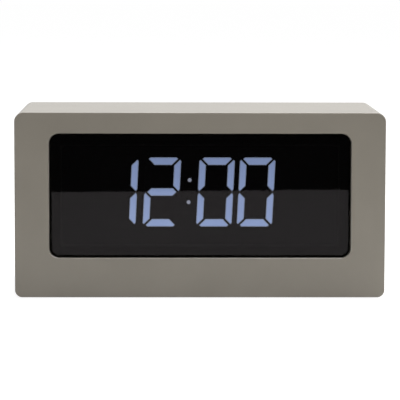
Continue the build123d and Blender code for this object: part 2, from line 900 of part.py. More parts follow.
plate_face = pocket_length / 2 - contact_thick
spring_length = nub_end - cell_length + plate_face - contact_gap


def spring_point(base_x, way, cell_z, turn):
    """Middle of the wire after a number of turns, measured from the plate."""
    share = turn / spring_turns
    coil_radius = spring_big_radius + (spring_small_radius - spring_big_radius) * share
    along = spring_wire_radius + (spring_length - 2 * spring_wire_radius) * share
    angle = 2 * math.pi * turn
    return Vector(
        base_x + way * along,
        y_at(cell_y_depth) + coil_radius * math.cos(angle),
        cell_z + coil_radius * math.sin(angle),
    )


with BuildPart() as battery_springs:
    for cell_z, way in zip(cell_zs, cell_ways):
        base_x = pocket_x - way * plate_face
        with BuildLine() as coil:
            for quarter in range(4 * spring_turns):
                ThreePointArc(
                    spring_point(base_x, way, cell_z, quarter / 4),
                    spring_point(base_x, way, cell_z, (quarter + 1 / 2) / 4),
                    spring_point(base_x, way, cell_z, (quarter + 1) / 4),
                )
        with BuildSketch(Plane(origin=coil.line @ 0, z_dir=coil.line % 0)) as wire_section:
            Circle(spring_wire_radius)
        sweep(wire_section.sketch, path=coil.line)
battery_springs.part.label = "battery_springs"
export_step(battery_springs.part, "parts/battery_springs.step")

# Rear cover: a plate inside the rim, with the battery pocket, posts for the board and all the openings

cover_width = inner_width - 2 * cover_gap
cover_height = inner_height - 2 * cover_gap
trough_height = 2 * hinge_radius + 2 * door_gap
trough_z = opening_bottom + trough_height / 2
trough_front = hinge_depth - hinge_radius - door_gap
block_bottom = opening_bottom - pocket_wall
block_top = pocket_top + pocket_wall
trough_block_height = trough_height + 2 * pocket_wall
with BuildPart() as rear_cover:
    rounded_block((0, housing_z), cover_width, cover_height, inner_radius - cover_gap,
                  cover_front, cover_rear)
    chamfer(rear_cover.faces().sort_by(Axis.Y)[-1].edges(), length=cover_edge_chamfer)
    blocks([(pocket_x, (pocket_bottom - pocket_wall + block_top) / 2)],
           block_width, block_top - pocket_bottom + pocket_wall, pocket_front, cover_front)
    blocks([(pocket_x, block_bottom + trough_block_height / 2)],
           block_width, trough_block_height, trough_front - pocket_wall, cover_front)
    round_posts(board_screw_places, small_boss_radius, main_board_rear, cover_front)
    blocks([(pocket_x, opening_z)], opening_width, opening_height, door_seat, cover_rear, Mode.SUBTRACT)
    blocks([(pocket_x, pocket_z)], pocket_length, pocket_height, pocket_floor, door_seat, Mode.SUBTRACT)
    blocks([(pocket_x, trough_z)], opening_width, trough_height, trough_front, door_seat, Mode.SUBTRACT)
    with BuildSketch(upright(cover_rear)):
        with Locations((pocket_x, opening_top)):
            Circle(grip_radius)
            Rectangle(2 * grip_radius, 2 * grip_radius, align=(Align.CENTER, Align.MIN),
                      mode=Mode.INTERSECT)
    extrude(amount=grip_depth, mode=Mode.SUBTRACT)
    hinge_reach = opening_width / 2 + pin_length - door_gap + pin_end_gap
    with BuildSketch(Plane.YZ.offset(pocket_x - hinge_reach)):
        with Locations((y_at(hinge_depth), hinge_z)):
            Circle(pin_radius + pin_fit)
    extrude(amount=2 * hinge_reach, mode=Mode.SUBTRACT)
    blocks([(plate_left_x, left_single_z), (plate_right_x, right_single_z)],
           contact_thick + 2 * tail_gap, tail_width + 2 * tail_gap,
           pocket_front, pocket_floor, Mode.SUBTRACT)
    round_posts(board_screw_places, small_screw_radius + thread_fit,
                main_board_rear, main_board_rear + small_screw_bite + bore_end_room, Mode.SUBTRACT)
    round_posts(rear_screw_places, rear_screw_radius + shank_fit, cover_front, cover_rear, Mode.SUBTRACT)
    round_posts(rear_screw_places, rear_head_radius + head_fit, cover_rear - rear_head_pocket, cover_rear,
                Mode.SUBTRACT)
    round_posts(button_places, button_radius + button_gap, cover_front, cover_rear, Mode.SUBTRACT)
    blocks([(slot_x, row_z)], knob_length + switch_travel + 2 * switch_gap, knob_width + 2 * switch_gap,
           cover_front, cover_rear, Mode.SUBTRACT)
    with BuildSketch(upright(cover_rear)):
        with Locations((inlet_x, inlet_z)):
            SlotOverall(inlet_width + 2 * inlet_gap, inlet_height + 2 * inlet_gap)
    extrude(amount=cover_thick, mode=Mode.SUBTRACT)
    with BuildSketch(upright(cover_rear)):
        with Locations((buzzer_x, buzzer_z)):
            Circle(sound_hole_radius)
            with PolarLocations(sound_ring_radius, sound_hole_count):
                Circle(sound_hole_radius)
    extrude(amount=cover_thick, mode=Mode.SUBTRACT)
rear_cover.part.label = "rear_cover"
export_step(rear_cover.part, "parts/rear_cover.step")

# Rear cover screws

rear_head_front = cover_rear - rear_head_pocket
rear_head_rear = rear_head_front + rear_head_thick
with BuildPart() as rear_screws:
    round_posts(rear_screw_places, rear_screw_radius, cover_front - rear_screw_bite, rear_head_front)
    round_posts(rear_screw_places, rear_head_radius, rear_head_front, rear_head_rear)
    cross_recess(rear_screw_places, rear_head_radius, rear_head_thick, rear_head_rear, -1)
rear_screws.part.label = "rear_screws"
export_step(rear_screws.part, "parts/rear_screws.step")

# Battery door: a flap on two trunnion pins at its lower edge

door_top = opening_top - door_gap
with BuildPart() as battery_door:
    with BuildSketch(upright(cover_rear)):
        with Locations((pocket_x, hinge_z)):
            Rectangle(door_width, door_top - hinge_z, align=(Align.CENTER, Align.MIN))
    extrude(amount=door_thick)
    with BuildSketch(Plane.YZ.offset(pocket_x - door_width / 2)):
        with Locations((y_at(hinge_depth), hinge_z)):
            Circle(hinge_radius)
    extrude(amount=door_width)
    with BuildSketch(Plane.YZ.offset(pocket_x - door_width / 2 - pin_length)):
        with Locations((y_at(hinge_depth), hinge_z)):
            Circle(pin_radius)
    extrude(amount=door_width + 2 * pin_length)
    groove_rows = [(pocket_x, door_top - rib_pitch * row) for row in range(1, rib_count + 1)]
    blocks(groove_rows, 2 * grip_radius, rib_groove, cover_rear - rib_depth, cover_rear, Mode.SUBTRACT)
battery_door.part.label = "battery_door"
export_step(battery_door.part, "parts/battery_door.step")

# Foam pad that holds the cells down, stuck to the inside of the door

with BuildPart() as door_foam_pad:
    blocks([(pocket_x, pocket_z)], pocket_length - 2 * pad_inset, pocket_height - 2 * pad_inset,
           pad_front, door_front)
door_foam_pad.part.label = "door_foam_pad"
export_step(door_foam_pad.part, "parts/door_foam_pad.step")


# Battery leads: from the contact tails, forward and up to a plug on the main board

def arc_radii(points):
    """Radius for each corner of a lead, as large as its two runs allow."""
    radii = []
    for before, corner, after in zip(points, points[1:], points[2:]):
        run_in = Vector(*corner) - Vector(*before)
        run_out = Vector(*after) - Vector(*corner)
        half_turn = math.radians(run_in.get_angle(run_out)) / 2
        shorter = min(run_in.length, run_out.length)
        radii.append(lead_arc_share * shorter / math.tan(half_turn))
    return radii


plug_x = board_left + plug_inset
plug_front = main_board_front - plug_thick
with BuildPart() as battery_connector:
    blocks([(plug_x, row_z)], plug_length, plug_width, plug_front, main_board_front)
battery_connector.part.label = "battery_connector"
export_step(battery_connector.part, "parts/battery_connector.step")

lead_ends = {
    "red": (plate_right_x, right_single_z, plug_x + lead_spread),
    "black": (plate_left_x, left_single_z, plug_x - lead_spread),
}
for colour, (tail_x, tail_z, socket_x) in lead_ends.items():
    middle_x = (tail_x + socket_x) / 2
    middle_z = (tail_z + row_z) / 2
    lead_points = [
        (socket_x, y_at(plug_front), row_z),
        (socket_x, y_at(plug_front - lead_bow), row_z),
        (middle_x, y_at(plug_front - lead_bow - lead_spread), middle_z),
        (tail_x, y_at(tail_front - lead_bow), tail_z),
        (tail_x, y_at(tail_front), tail_z),
    ]
    lead_radii = arc_radii(lead_points)
    print("lead", colour, "bend radii", [round(radius, 1) for radius in lead_radii])
    with BuildPart() as lead:
        with BuildLine() as route:
            FilletPolyline(*lead_points, radius=lead_radii)
        with BuildSketch(Plane(origin=route.line @ 0, z_dir=route.line % 0)) as lead_section:
            Circle(lead_radius)
        sweep(lead_section.sketch, path=route.line)
    lead.part.label = f"battery_lead_{colour}"
    export_step(lead.part, f"parts/battery_lead_{colour}.step")

# Ribbon and its two headers, between the display board and the main board

ribbon_x = board_right - ribbon_inset
header_rear = display_board_rear + header_thick
header_front = main_board_front - header_thick
with BuildPart() as ribbon_connectors:
    blocks([(ribbon_x, window_z)], header_length, header_width, display_board_rear, header_rear)
    blocks([(ribbon_x, window_z)], header_length, header_width, header_front, main_board_front)
ribbon_connectors.part.label = "ribbon_connectors"
export_step(ribbon_connectors.part, "parts/ribbon_connectors.step")

ribbon_run = header_front - header_rear
straight_run = ribbon_run * ribbon_straight_share
with BuildPart() as display_ribbon:
    with BuildLine(Plane.YZ.offset(ribbon_x)) as fold:
        FilletPolyline(
            (y_at(header_rear), window_z),
            (y_at(header_rear + straight_run), window_z),
            (y_at(header_rear + ribbon_run / 2), window_z - ribbon_drop),
            (y_at(header_front - straight_run), window_z),
            (y_at(header_front), window_z),
            radius=ribbon_bend_radius,
        )
    with BuildSketch(Plane(origin=fold.line @ 0, x_dir=(1, 0, 0), z_dir=fold.line % 0)) as ribbon_section:
        Rectangle(ribbon_width, ribbon_thick)
    sweep(ribbon_section.sketch, path=fold.line)
display_ribbon.part.label = "display_ribbon"
export_step(display_ribbon.part, "parts/display_ribbon.step")
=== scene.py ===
import json
import math

import bpy
from mathutils import Euler, Matrix, Vector

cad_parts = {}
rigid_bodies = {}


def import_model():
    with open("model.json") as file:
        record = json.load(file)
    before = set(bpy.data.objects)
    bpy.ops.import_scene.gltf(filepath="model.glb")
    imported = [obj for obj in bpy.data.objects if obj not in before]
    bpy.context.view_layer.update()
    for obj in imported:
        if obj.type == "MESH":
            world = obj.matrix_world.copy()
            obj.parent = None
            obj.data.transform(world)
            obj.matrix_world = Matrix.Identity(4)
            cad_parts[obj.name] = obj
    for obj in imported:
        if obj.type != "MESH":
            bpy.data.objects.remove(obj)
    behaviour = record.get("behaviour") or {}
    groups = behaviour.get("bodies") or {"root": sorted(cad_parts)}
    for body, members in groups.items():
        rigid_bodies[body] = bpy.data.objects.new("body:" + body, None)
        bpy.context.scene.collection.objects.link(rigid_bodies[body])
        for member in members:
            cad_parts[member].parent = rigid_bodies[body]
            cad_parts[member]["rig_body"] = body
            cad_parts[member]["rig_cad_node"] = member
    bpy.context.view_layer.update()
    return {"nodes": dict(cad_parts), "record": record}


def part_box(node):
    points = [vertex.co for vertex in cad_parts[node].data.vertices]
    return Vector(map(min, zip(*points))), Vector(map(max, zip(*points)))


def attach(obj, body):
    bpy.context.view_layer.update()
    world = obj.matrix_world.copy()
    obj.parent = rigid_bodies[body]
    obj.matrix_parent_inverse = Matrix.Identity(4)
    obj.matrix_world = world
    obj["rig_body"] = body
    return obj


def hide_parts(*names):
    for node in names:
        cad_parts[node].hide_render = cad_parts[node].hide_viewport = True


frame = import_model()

# The looks of a digital desk clock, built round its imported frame.
# The front looks along -Y and up is +Z. Places are in metres, and a name that ends in _mm is in
# millimetres, as are the profiles that the round pieces are drawn from.

MM = 0.001
nodes = frame["nodes"]

# Turns that make a piece that is drawn upwards look another way
FACING_UP = (0, 0, 0)
FACING_DOWN = (math.radians(180), 0, 0)
FACING_FRONT = (math.radians(90), 0, 0)
FACING_BACK = (math.radians(90), 0, math.radians(180))
FACING_RIGHT = (0, math.radians(90), 0)
FACING_LEFT = (0, math.radians(-90), 0)


# Colours and shader nodes

SRGB_KNEE, SRGB_SLOPE, SRGB_OFFSET, SRGB_POWER = 0.04045, 12.92, 0.055, 2.4
# Sockets of the Mix node, first those that come in and then those that go out
SHARE, FIRST_NUMBER, SECOND_NUMBER, FIRST_COLOUR, SECOND_COLOUR = 0, 2, 3, 6, 7
MIXED_NUMBER, MIXED_COLOUR = 0, 2
PATCH_DETAIL, PATCH_SPREAD = 3.0, (0.35, 0.65)
GRAIN_DETAIL, GRAIN_SPREAD = 2.0, (0.3, 0.7)
WHITE = (1, 1, 1, 1)
BLACK = (0, 0, 0, 1)


def srgb(code):
    """Linear colour with alpha from an sRGB hex code such as #8A8378."""
    shares = [int(code[start:start + 2], 16) / 255 for start in (1, 3, 5)]
    linear = [share / SRGB_SLOPE if share <= SRGB_KNEE
              else ((share + SRGB_OFFSET) / (1 + SRGB_OFFSET)) ** SRGB_POWER for share in shares]
    return (*linear, 1.0)


def add(tree, kind, sockets=None, **settings):
    """Adds a node with its settings, and gives each named socket a value or a link."""
    made = tree.nodes.new("ShaderNode" + kind)
    for name, value in settings.items():
        setattr(made, name, value)
    for name, value in (sockets or {}).items():
        if isinstance(value, bpy.types.NodeSocket):
            tree.links.new(value, made.inputs[name])
        else:
            made.inputs[name].default_value = value
    return made


def lay_over(tree, shader, mask, colour, roughness, metallic=None):
    """Lays a second finish over the first where the mask is 1."""
    under = shader.inputs["Base Color"].links[0].from_socket
    tint = add(tree, "Mix", {SHARE: mask, FIRST_COLOUR: under, SECOND_COLOUR: srgb(colour)},
               data_type="RGBA")
    tree.links.new(tint.outputs[MIXED_COLOUR], shader.inputs["Base Color"])
    under = shader.inputs["Roughness"].links[0].from_socket
    gloss = add(tree, "Mix", {SHARE: mask, FIRST_NUMBER: under, SECOND_NUMBER: roughness})
    tree.links.new(gloss.outputs[MIXED_NUMBER], shader.inputs["Roughness"])
    if metallic is not None:
        under = shader.inputs["Metallic"].default_value
        metal = add(tree, "Mix", {SHARE: mask, FIRST_NUMBER: under, SECOND_NUMBER: metallic})
        tree.links.new(metal.outputs[MIXED_NUMBER], shader.inputs["Metallic"])


def inside(tree, place, low, high):
    """1 inside a box and 0 outside it."""
    centre = [(a + b) / 2 for a, b in zip(low, high)]
    half = [(b - a) / 2 for a, b in zip(low, high)]
    away = add(tree, "VectorMath", {0: place, 1: centre}, operation="SUBTRACT").outputs[0]
    away = add(tree, "VectorMath", {0: away}, operation="ABSOLUTE").outputs[0]
    away = add(tree, "VectorMath", {0: away, 1: half}, operation="DIVIDE").outputs[0]
    parts = add(tree, "SeparateXYZ", {0: away}).outputs
    furthest = add(tree, "Math", {0: parts[0], 1: parts[1]}, operation="MAXIMUM").outputs[0]
    furthest = add(tree, "Math", {0: furthest, 1: parts[2]}, operation="MAXIMUM").outputs[0]
    return add(tree, "Math", {0: furthest, 1: 1.0}, operation="LESS_THAN").outputs[0]


def new_material(name, **constants):
    """A new material with constants on its shader's own sockets."""
    material = bpy.data.materials.new(name)
    material.use_nodes = True
    shader = material.node_tree.nodes["Principled BSDF"]
    for socket, value in constants.items():
        shader.inputs[socket.replace("_", " ")].default_value = value
    return material, material.node_tree, shader


finishes = {}


def finish(slot, name, colours, patch_mm, grain_mm, depth_mm, roughness, **constants):
    """A finish of two near colours in soft patches, with a fine grain.

    The grain stands depth_mm high, and the roughness wanders with it between two values.
    """
    material, tree, shader = new_material(name, **constants)
    place = add(tree, "TexCoord").outputs["Object"]
    patches = add(tree, "TexNoise", {"Vector": place, "Scale": 1 / (patch_mm * MM),
                                     "Detail": PATCH_DETAIL}).outputs[0]
    share = add(tree, "MapRange", {"Value": patches, "From Min": PATCH_SPREAD[0],
                                   "From Max": PATCH_SPREAD[1]}).outputs[0]
    tint = add(tree, "Mix", {SHARE: share, FIRST_COLOUR: srgb(colours[0]),
                             SECOND_COLOUR: srgb(colours[1])}, data_type="RGBA")
    tree.links.new(tint.outputs[MIXED_COLOUR], shader.inputs["Base Color"])
    grain = add(tree, "TexNoise", {"Vector": place, "Scale": 1 / (grain_mm * MM),
                                   "Detail": GRAIN_DETAIL}).outputs[0]
    if depth_mm:
        relief = add(tree, "Bump", {"Height": grain, "Distance": depth_mm * MM})
        tree.links.new(relief.outputs[0], shader.inputs["Normal"])
    wander = add(tree, "MapRange", {
        "Value": grain, "From Min": GRAIN_SPREAD[0], "From Max": GRAIN_SPREAD[1],
        "To Min": roughness[0], "To Max": roughness[1]})
    tree.links.new(wander.outputs[0], shader.inputs["Roughness"])
    finishes[slot] = material
    return tree, shader, place


# Finishes. Grains finer than about 0.4 mm do not show, so they are drawn at 0.4 mm and more.

# Moulded ABS, warm grey, spark-eroded mould: matt, even, with a fine dry grain.
finish("housing_plastic", "abs_warm_grey_spark_eroded", ("#79746B", "#767168"),
       patch_mm=22, grain_mm=0.45, depth_mm=0.006, roughness=(0.3, 0.36), IOR=1.53)

# Moulded ABS, charcoal, coarser mould texture: matt with small dull glints.
finish("cover_plastic", "abs_charcoal_textured", ("#31302F", "#2E2D2C"),
       patch_mm=12, grain_mm=0.55, depth_mm=0.03, roughness=(0.48, 0.62), IOR=1.53)

# Smoked cast acrylic, polished: a flat, deep black mirror that lets a little light through.
# Its refraction is set below acrylic's, so that it reflects as faintly as in the photograph.
finish("lens_acrylic", "acrylic_smoked_polished", ("#505052", "#4D4D50"),
       patch_mm=30, grain_mm=25, depth_mm=0, roughness=(0.01, 0.02),
       IOR=1.265, Transmission_Weight=1.0, Specular_Tint=(1.0, 0.93, 0.945, 1.0))

# Acrylic adhesive tape on a black film: dull, faintly wrinkled.
finish("tape", "film_tape_black", ("#1C1C1C", "#212121"),
       patch_mm=5, grain_mm=0.8, depth_mm=0.01, roughness=(0.55, 0.7))

# Closed-cell EVA foam, black: open pores in a dull skin.
pore_mm, pore_depth_mm = 0.7, 0.12
tree, shader, place = finish(
    "foam", "eva_foam_black", ("#232323", "#1B1B1B"),
    patch_mm=3, grain_mm=0.5, depth_mm=0.05, roughness=(0.85, 0.95))
pores = add(tree, "TexVoronoi", {"Vector": place, "Scale": 1 / (pore_mm * MM)})
pits = add(tree, "Bump", {"Height": pores.outputs["Distance"], "Distance": pore_depth_mm * MM,
                          "Normal": shader.inputs["Normal"].links[0].from_socket})
tree.links.new(pits.outputs[0], shader.inputs["Normal"])

# Moulded polycarbonate, display block: face printed matt black, wells white to throw the light out.
block_rim_mm, block_print_mm = 1.0, 0.05
tree, shader, place = finish(
    "display_black", "polycarbonate_white_black_face", ("#0B0B0C", "#090909"),
    patch_mm=8, grain_mm=0.5, depth_mm=0.004, roughness=(0.5, 0.6), IOR=1.58)
reflector_low, reflector_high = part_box("display_reflector")
rim = Vector((block_rim_mm * MM, 0, block_rim_mm * MM))
well_low = reflector_low + rim + Vector((0, block_print_mm * MM, 0))
well_high = reflector_high - rim + Vector((0, MM, 0))
lay_over(tree, shader, inside(tree, place, well_low, well_high), "#C9C9C4", roughness=0.45)

# Diffusing epoxy resin, unlit: milky grey behind the smoked window, so almost black.
finish("segment_unlit", "epoxy_diffusing_dark", ("#2C2D30", "#28292C"),
       patch_mm=2, grain_mm=0.4, depth_mm=0.004, roughness=(0.3, 0.4), IOR=1.54)

# Diffusing epoxy resin, lit from behind: pale in the middle, greyer and dimmer at the border, and
# dimmer towards the top of a digit.
glow_strength, glow_fall = 8.0, 0.78
ripple_mm, ripple_detail, ripple_spread, ripple_shares = 2.5, 1.0, (0.3, 0.7), (0.9, 1.0)


def lit_finish(slot, name, border, centre, ripples):
    """A lit resin whose glow goes from the border colour to the centre colour, with ripples."""
    tree, shader, place = finish(
        slot, name, ("#B9C4DE", "#B2BEDA"), patch_mm=2, grain_mm=0.4, depth_mm=0.004,
        roughness=(0.3, 0.4), IOR=1.54, Emission_Strength=glow_strength)
    glow = add(tree, "Attribute", attribute_name="glow").outputs["Fac"]
    ripple = add(tree, "TexNoise", {"Vector": place, "Scale": 1 / (ripple_mm * MM),
                                    "Detail": ripple_detail}).outputs[0]
    ripple = add(tree, "MapRange", {
        "Value": ripple, "From Min": ripple_spread[0], "From Max": ripple_spread[1],
        "To Min": ripple_shares[0], "To Max": ripple_shares[1]}).outputs[0]
    light = add(tree, "Mix", {SHARE: glow, FIRST_COLOUR: srgb(border),
                              SECOND_COLOUR: srgb(centre)}, data_type="RGBA")
    light = add(tree, "Mix", {SHARE: ripple, FIRST_COLOUR: srgb(ripples),
                              SECOND_COLOUR: light.outputs[MIXED_COLOUR]}, data_type="RGBA")
    digit_low, digit_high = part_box("digit_1_lit")
    height = add(tree, "SeparateXYZ", {0: place}).outputs[2]
    fall = add(tree, "MapRange", {"Value": height, "From Min": digit_low.z,
                                  "From Max": digit_high.z, "To Min": 1.0, "To Max": glow_fall})
    light = add(tree, "VectorMath", {0: light.outputs[MIXED_COLOUR], "Scale": fall.outputs[0]},
                operation="SCALE")
    tree.links.new(light.outputs[0], shader.inputs["Emission Color"])


lit_finish("segment_lit", "epoxy_diffusing_lit", "#8B95A2", "#AABFE9", "#8B99D0")
lit_finish("dot_lit", "epoxy_diffusing_lit_dim", "#8F939C", "#ACB0BC", "#9A9DAE")

# Phosphor over a blue LED die: pale yellow gel.
finish("led_chip", "phosphor_gel_yellow", ("#E6DDA6", "#DCCF8E"),
       patch_mm=0.6, grain_mm=0.4, depth_mm=0.01, roughness=(0.25, 0.4))

# Glass-fibre board under green solder mask: glossy, with raised copper tracks in some regions.
# The tracks' width, run and pitch are shares of their scale.
track_scale_mm, track_width, track_run, track_pitch = 9, 0.02, 1.7, 0.14
region_mm, plain_share, track_height_mm = 11, 0.55, 0.035
tree, shader, place = finish(
    "board_green", "fr4_green_solder_mask", ("#1F5B33", "#1B5230"),
    patch_mm=10, grain_mm=0.6, depth_mm=0.006, roughness=(0.28, 0.38), IOR=1.55)
upright_place = add(tree, "Mapping", {"Vector": place, "Rotation": FACING_FRONT}).outputs[0]
tracks = add(tree, "TexBrick", {
    "Vector": upright_place, "Scale": 1 / (track_scale_mm * MM),
    "Color1": BLACK, "Color2": BLACK, "Mortar": WHITE,
    "Mortar Size": track_width, "Brick Width": track_run, "Row Height": track_pitch})
regions = add(tree, "TexVoronoi", {"Vector": upright_place, "Scale": 1 / (region_mm * MM)})
regions = add(tree, "SeparateColor", {0: regions.outputs["Color"]}).outputs[0]
routed = add(tree, "Math", {0: regions, 1: plain_share}, operation="GREATER_THAN").outputs[0]
tracks = add(tree, "Math", {0: tracks.outputs["Fac"], 1: routed}, operation="MULTIPLY").outputs[0]
lay_over(tree, shader, tracks, "#2F7A47", roughness=0.3)
raised = add(tree, "Bump", {"Height": tracks, "Distance": track_height_mm * MM,
                            "Normal": shader.inputs["Normal"].links[0].from_socket})
tree.links.new(raised.outputs[0], shader.inputs["Normal"])

# Epoxy moulding compound, chip packages: flat black with a faint grey bloom.
finish("chip_black", "epoxy_moulding_black", ("#1D1D1E", "#18181A"),
       patch_mm=4, grain_mm=0.4, depth_mm=0.006, roughness=(0.5, 0.65))

# Tin-plated steel, drawn: soft silver with a satin grain.
finish("tin", "tin_plate_satin", ("#C9C8C4", "#BDBCB8"),
       patch_mm=3, grain_mm=0.4, depth_mm=0.003, roughness=(0.3, 0.42), Metallic=1.0)

# PVC shrink sleeve on an aluminium can: glossy near-black sleeve, bright scored top.
bare_top_mm = 1.6
tree, shader, place = finish(
    "capacitor_sleeve", "pvc_sleeve_black", ("#17181C", "#1C1D22"),
    patch_mm=5, grain_mm=0.5, depth_mm=0.004, roughness=(0.25, 0.32))
can_low, can_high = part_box("filter_capacitors")
top_low = (can_low.x, can_low.y - MM, can_low.z)
top_high = (can_high.x, can_low.y + bare_top_mm * MM, can_high.z)
lay_over(tree, shader, inside(tree, place, top_low, top_high), "#CFCFCD",
         roughness=0.3, metallic=1.0)

# Moulded PBT, buzzer: black, slightly glossy.
finish("buzzer_plastic", "pbt_black", ("#151515", "#1A1A1A"),
       patch_mm=5, grain_mm=0.4, depth_mm=0.006, roughness=(0.38, 0.48))

# Zinc-plated steel screws: bluish silver.
finish("screw_steel", "steel_zinc_plated", ("#B9BDC2", "#A9AEB4"),
       patch_mm=1.5, grain_mm=0.4, depth_mm=0.004, roughness=(0.28, 0.4), Metallic=1.0)

# Black-oxide steel screws: dark, oily sheen.
finish("screw_black", "steel_black_oxide", ("#37383A", "#2D2E30"),
       patch_mm=1.5, grain_mm=0.4, depth_mm=0.006, roughness=(0.34, 0.48), Metallic=1.0)

# Moulded nylon, switches: black, satin.
finish("switch_plastic", "nylon_black_satin", ("#1B1B1C", "#202021"),
       patch_mm=4, grain_mm=0.4, depth_mm=0.006, roughness=(0.4, 0.52))

# Moulded ABS, buttons: dark grey, satin, smoother than the cover.
finish("button_plastic", "abs_dark_grey_satin", ("#4A4845", "#464441"),
       patch_mm=3, grain_mm=0.4, depth_mm=0.005, roughness=(0.34, 0.42), IOR=1.53)

# Natural nylon, plungers: warm translucent white.
finish("plunger_plastic", "nylon_natural", ("#D9D3C4", "#D1CABA"),
       patch_mm=2, grain_mm=0.4, depth_mm=0.005, roughness=(0.4, 0.5), Subsurface_Weight=0.1)

# Nickel-plated steel, inlet shell: bright, rolled.
finish("inlet_shell", "steel_nickel_plated", ("#CFCBC2", "#C4C0B6"),
       patch_mm=2, grain_mm=0.4, depth_mm=0.002, roughness=(0.2, 0.3), Metallic=1.0)

# Liquid-crystal polymer, inlet tongue: deep black, satin.
finish("inlet_tongue", "lcp_black", ("#131313", "#181818"),
       patch_mm=2, grain_mm=0.4, depth_mm=0.004, roughness=(0.4, 0.5))

# PVC ribbon cable: grey ribs, one for each wire, with a red wire at one edge. The wave texture
# makes one rib of every pi / 10 of its scaled length.
wire_pitch_mm, rib_height_mm = 1.27, 0.15
tree, shader, place = finish(
    "ribbon_grey", "pvc_ribbon_grey", ("#9B9C9E", "#949597"),
    patch_mm=6, grain_mm=0.5, depth_mm=0, roughness=(0.38, 0.46))
ribbon_low, ribbon_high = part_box("display_ribbon")
red_low = ribbon_low - Vector((MM, MM, MM))
red_high = (ribbon_low.x + wire_pitch_mm * MM, ribbon_high.y + MM, ribbon_high.z + MM)
lay_over(tree, shader, inside(tree, place, red_low, red_high), "#9A1B17", roughness=0.4)
rib_scale = math.pi / (10 * wire_pitch_mm * MM)
ribs = add(tree, "TexWave", {"Vector": place, "Scale": rib_scale}, bands_direction="X")
ridges = add(tree, "Bump", {"Height": ribs.outputs["Fac"], "Distance": rib_height_mm * MM})
tree.links.new(ridges.outputs[0], shader.inputs["Normal"])

# Natural nylon, headers and plug: creamy white.
finish("header_white", "nylon_cream", ("#E3DDCB", "#DAD3C0"),
       patch_mm=4, grain_mm=0.4, depth_mm=0.005, roughness=(0.4, 0.5), Subsurface_Weight=0.1)

# PVC wire insulation: glossy, faintly ribbed by the strands.
finish("lead_red", "pvc_wire_red", ("#B01A16", "#9F1512"),
       patch_mm=3, grain_mm=0.5, depth_mm=0.01, roughness=(0.3, 0.4))
finish("lead_black", "pvc_wire_black", ("#161616", "#1C1C1C"),
       patch_mm=3, grain_mm=0.5, depth_mm=0.01, roughness=(0.3, 0.4))

# Printed PVC shrink wrap, cells: plain slate blue with a soft gloss.
finish("cell_wrap", "pvc_wrap_slate", ("#47606E", "#425A68"),
       patch_mm=9, grain_mm=0.6, depth_mm=0.004, roughness=(0.26, 0.34))

# Nickel-plated spring steel, contacts: warm silver, faint rolling marks.
finish("contact_nickel", "spring_steel_nickel", ("#C9C3B6", "#BDB6A8"),
       patch_mm=1.2, grain_mm=0.4, depth_mm=0.003, roughness=(0.24, 0.36), Metallic=1.0)

# Soft silicone rubber, feet: dull black with dusty patches.
finish("foot_rubber", "silicone_rubber_black", ("#232322", "#1D1D1C"),
       patch_mm=2.5, grain_mm=0.5, depth_mm=0.01, roughness=(0.7, 0.85))

# Pad-printed ink on the rear cover: flat off-white with a slightly ragged cover.
finish("ink", "pad_print_white", ("#D8D6D0", "#CFCDC6"),
       patch_mm=1.5, grain_mm=0.4, depth_mm=0.004, roughness=(0.55, 0.65))

# Gold flash on copper, contacts of the inlet: bright yellow metal.
finish("gold", "gold_flash", ("#E2B766", "#D9AA55"),
       patch_mm=1, grain_mm=0.4, depth_mm=0.002, roughness=(0.22, 0.3), Metallic=1.0)

# Lead-free solder: bright fillets, a little frosted.
finish("solder", "solder_frosted", ("#C6C7C8", "#B4B6B8"),
       patch_mm=0.8, grain_mm=0.4, depth_mm=0.006, roughness=(0.26, 0.42), Metallic=1.0)

# Sintered ceramic of the small board parts: brown-beige, matt.
finish("ceramic", "ceramic_beige", ("#9C8468", "#8D765B"),
       patch_mm=1, grain_mm=0.4, depth_mm=0.005, roughness=(0.5, 0.6))

# Matt black solder mask, display board: keeps the room behind the window dark.
finish("dark_mask", "fr4_black_solder_mask", ("#0C0D0D", "#101111"),
       patch_mm=8, grain_mm=0.6, depth_mm=0.006, roughness=(0.45, 0.55))

for row in frame["record"]["subparts"]:
    node = nodes[row["node"]]
    node.data.materials.clear()
    node.data.materials.append(finishes[row["material_slot"]])
nodes["display_board"].data.materials[0] = finishes["dark_mask"]


# Modelling tools. Everything is deselected first, and faces are picked in code by where they look.

bpy.context.tool_settings.mesh_select_mode = (False, False, True)

# A face looks squarely one way where its normal has more than this share along it
SQUARELY = 0.9
MERGE_MM = 0.0005
FLAT_ANGLE = math.radians(1)
SMOOTH_DEG = 35


def begin():
    """Leaves nothing selected before the next piece is added."""
    bpy.ops.object.select_all(action="DESELECT")


def take(piece):
    """Selects one piece alone."""
    begin()
    piece.select_set(True)
    bpy.context.view_layer.objects.active = piece


def edit(piece):
    """Opens one piece, alone, in edit mode."""
    take(piece)
    bpy.ops.object.mode_set(mode="EDIT")


def leave():
    """Points all faces outwards and leaves edit mode."""
    bpy.ops.mesh.select_all(action="SELECT")
    bpy.ops.mesh.normals_make_consistent(inside=False)
    bpy.ops.object.mode_set(mode="OBJECT")


def pick(piece, wanted):
    """Selects the faces for which wanted(face) holds, and opens the piece in edit mode."""
    mesh = piece.data
    mesh.vertices.foreach_set("select", [False] * len(mesh.vertices))
    mesh.edges.foreach_set("select", [False] * len(mesh.edges))
    mesh.polygons.foreach_set("select", [bool(wanted(face)) for face in mesh.polygons])
    edit(piece)


def resize_picked(shares):
    """Resizes the picked faces about the origin and closes the piece."""
    bpy.ops.transform.resize(value=shares, center_override=(0, 0, 0))
    leave()


def apply_modifiers(piece):
    """Makes a piece's modifiers part of its mesh."""
    take(piece)
    for modifier in list(piece.modifiers):
        bpy.ops.object.modifier_apply(modifier=modifier.name)


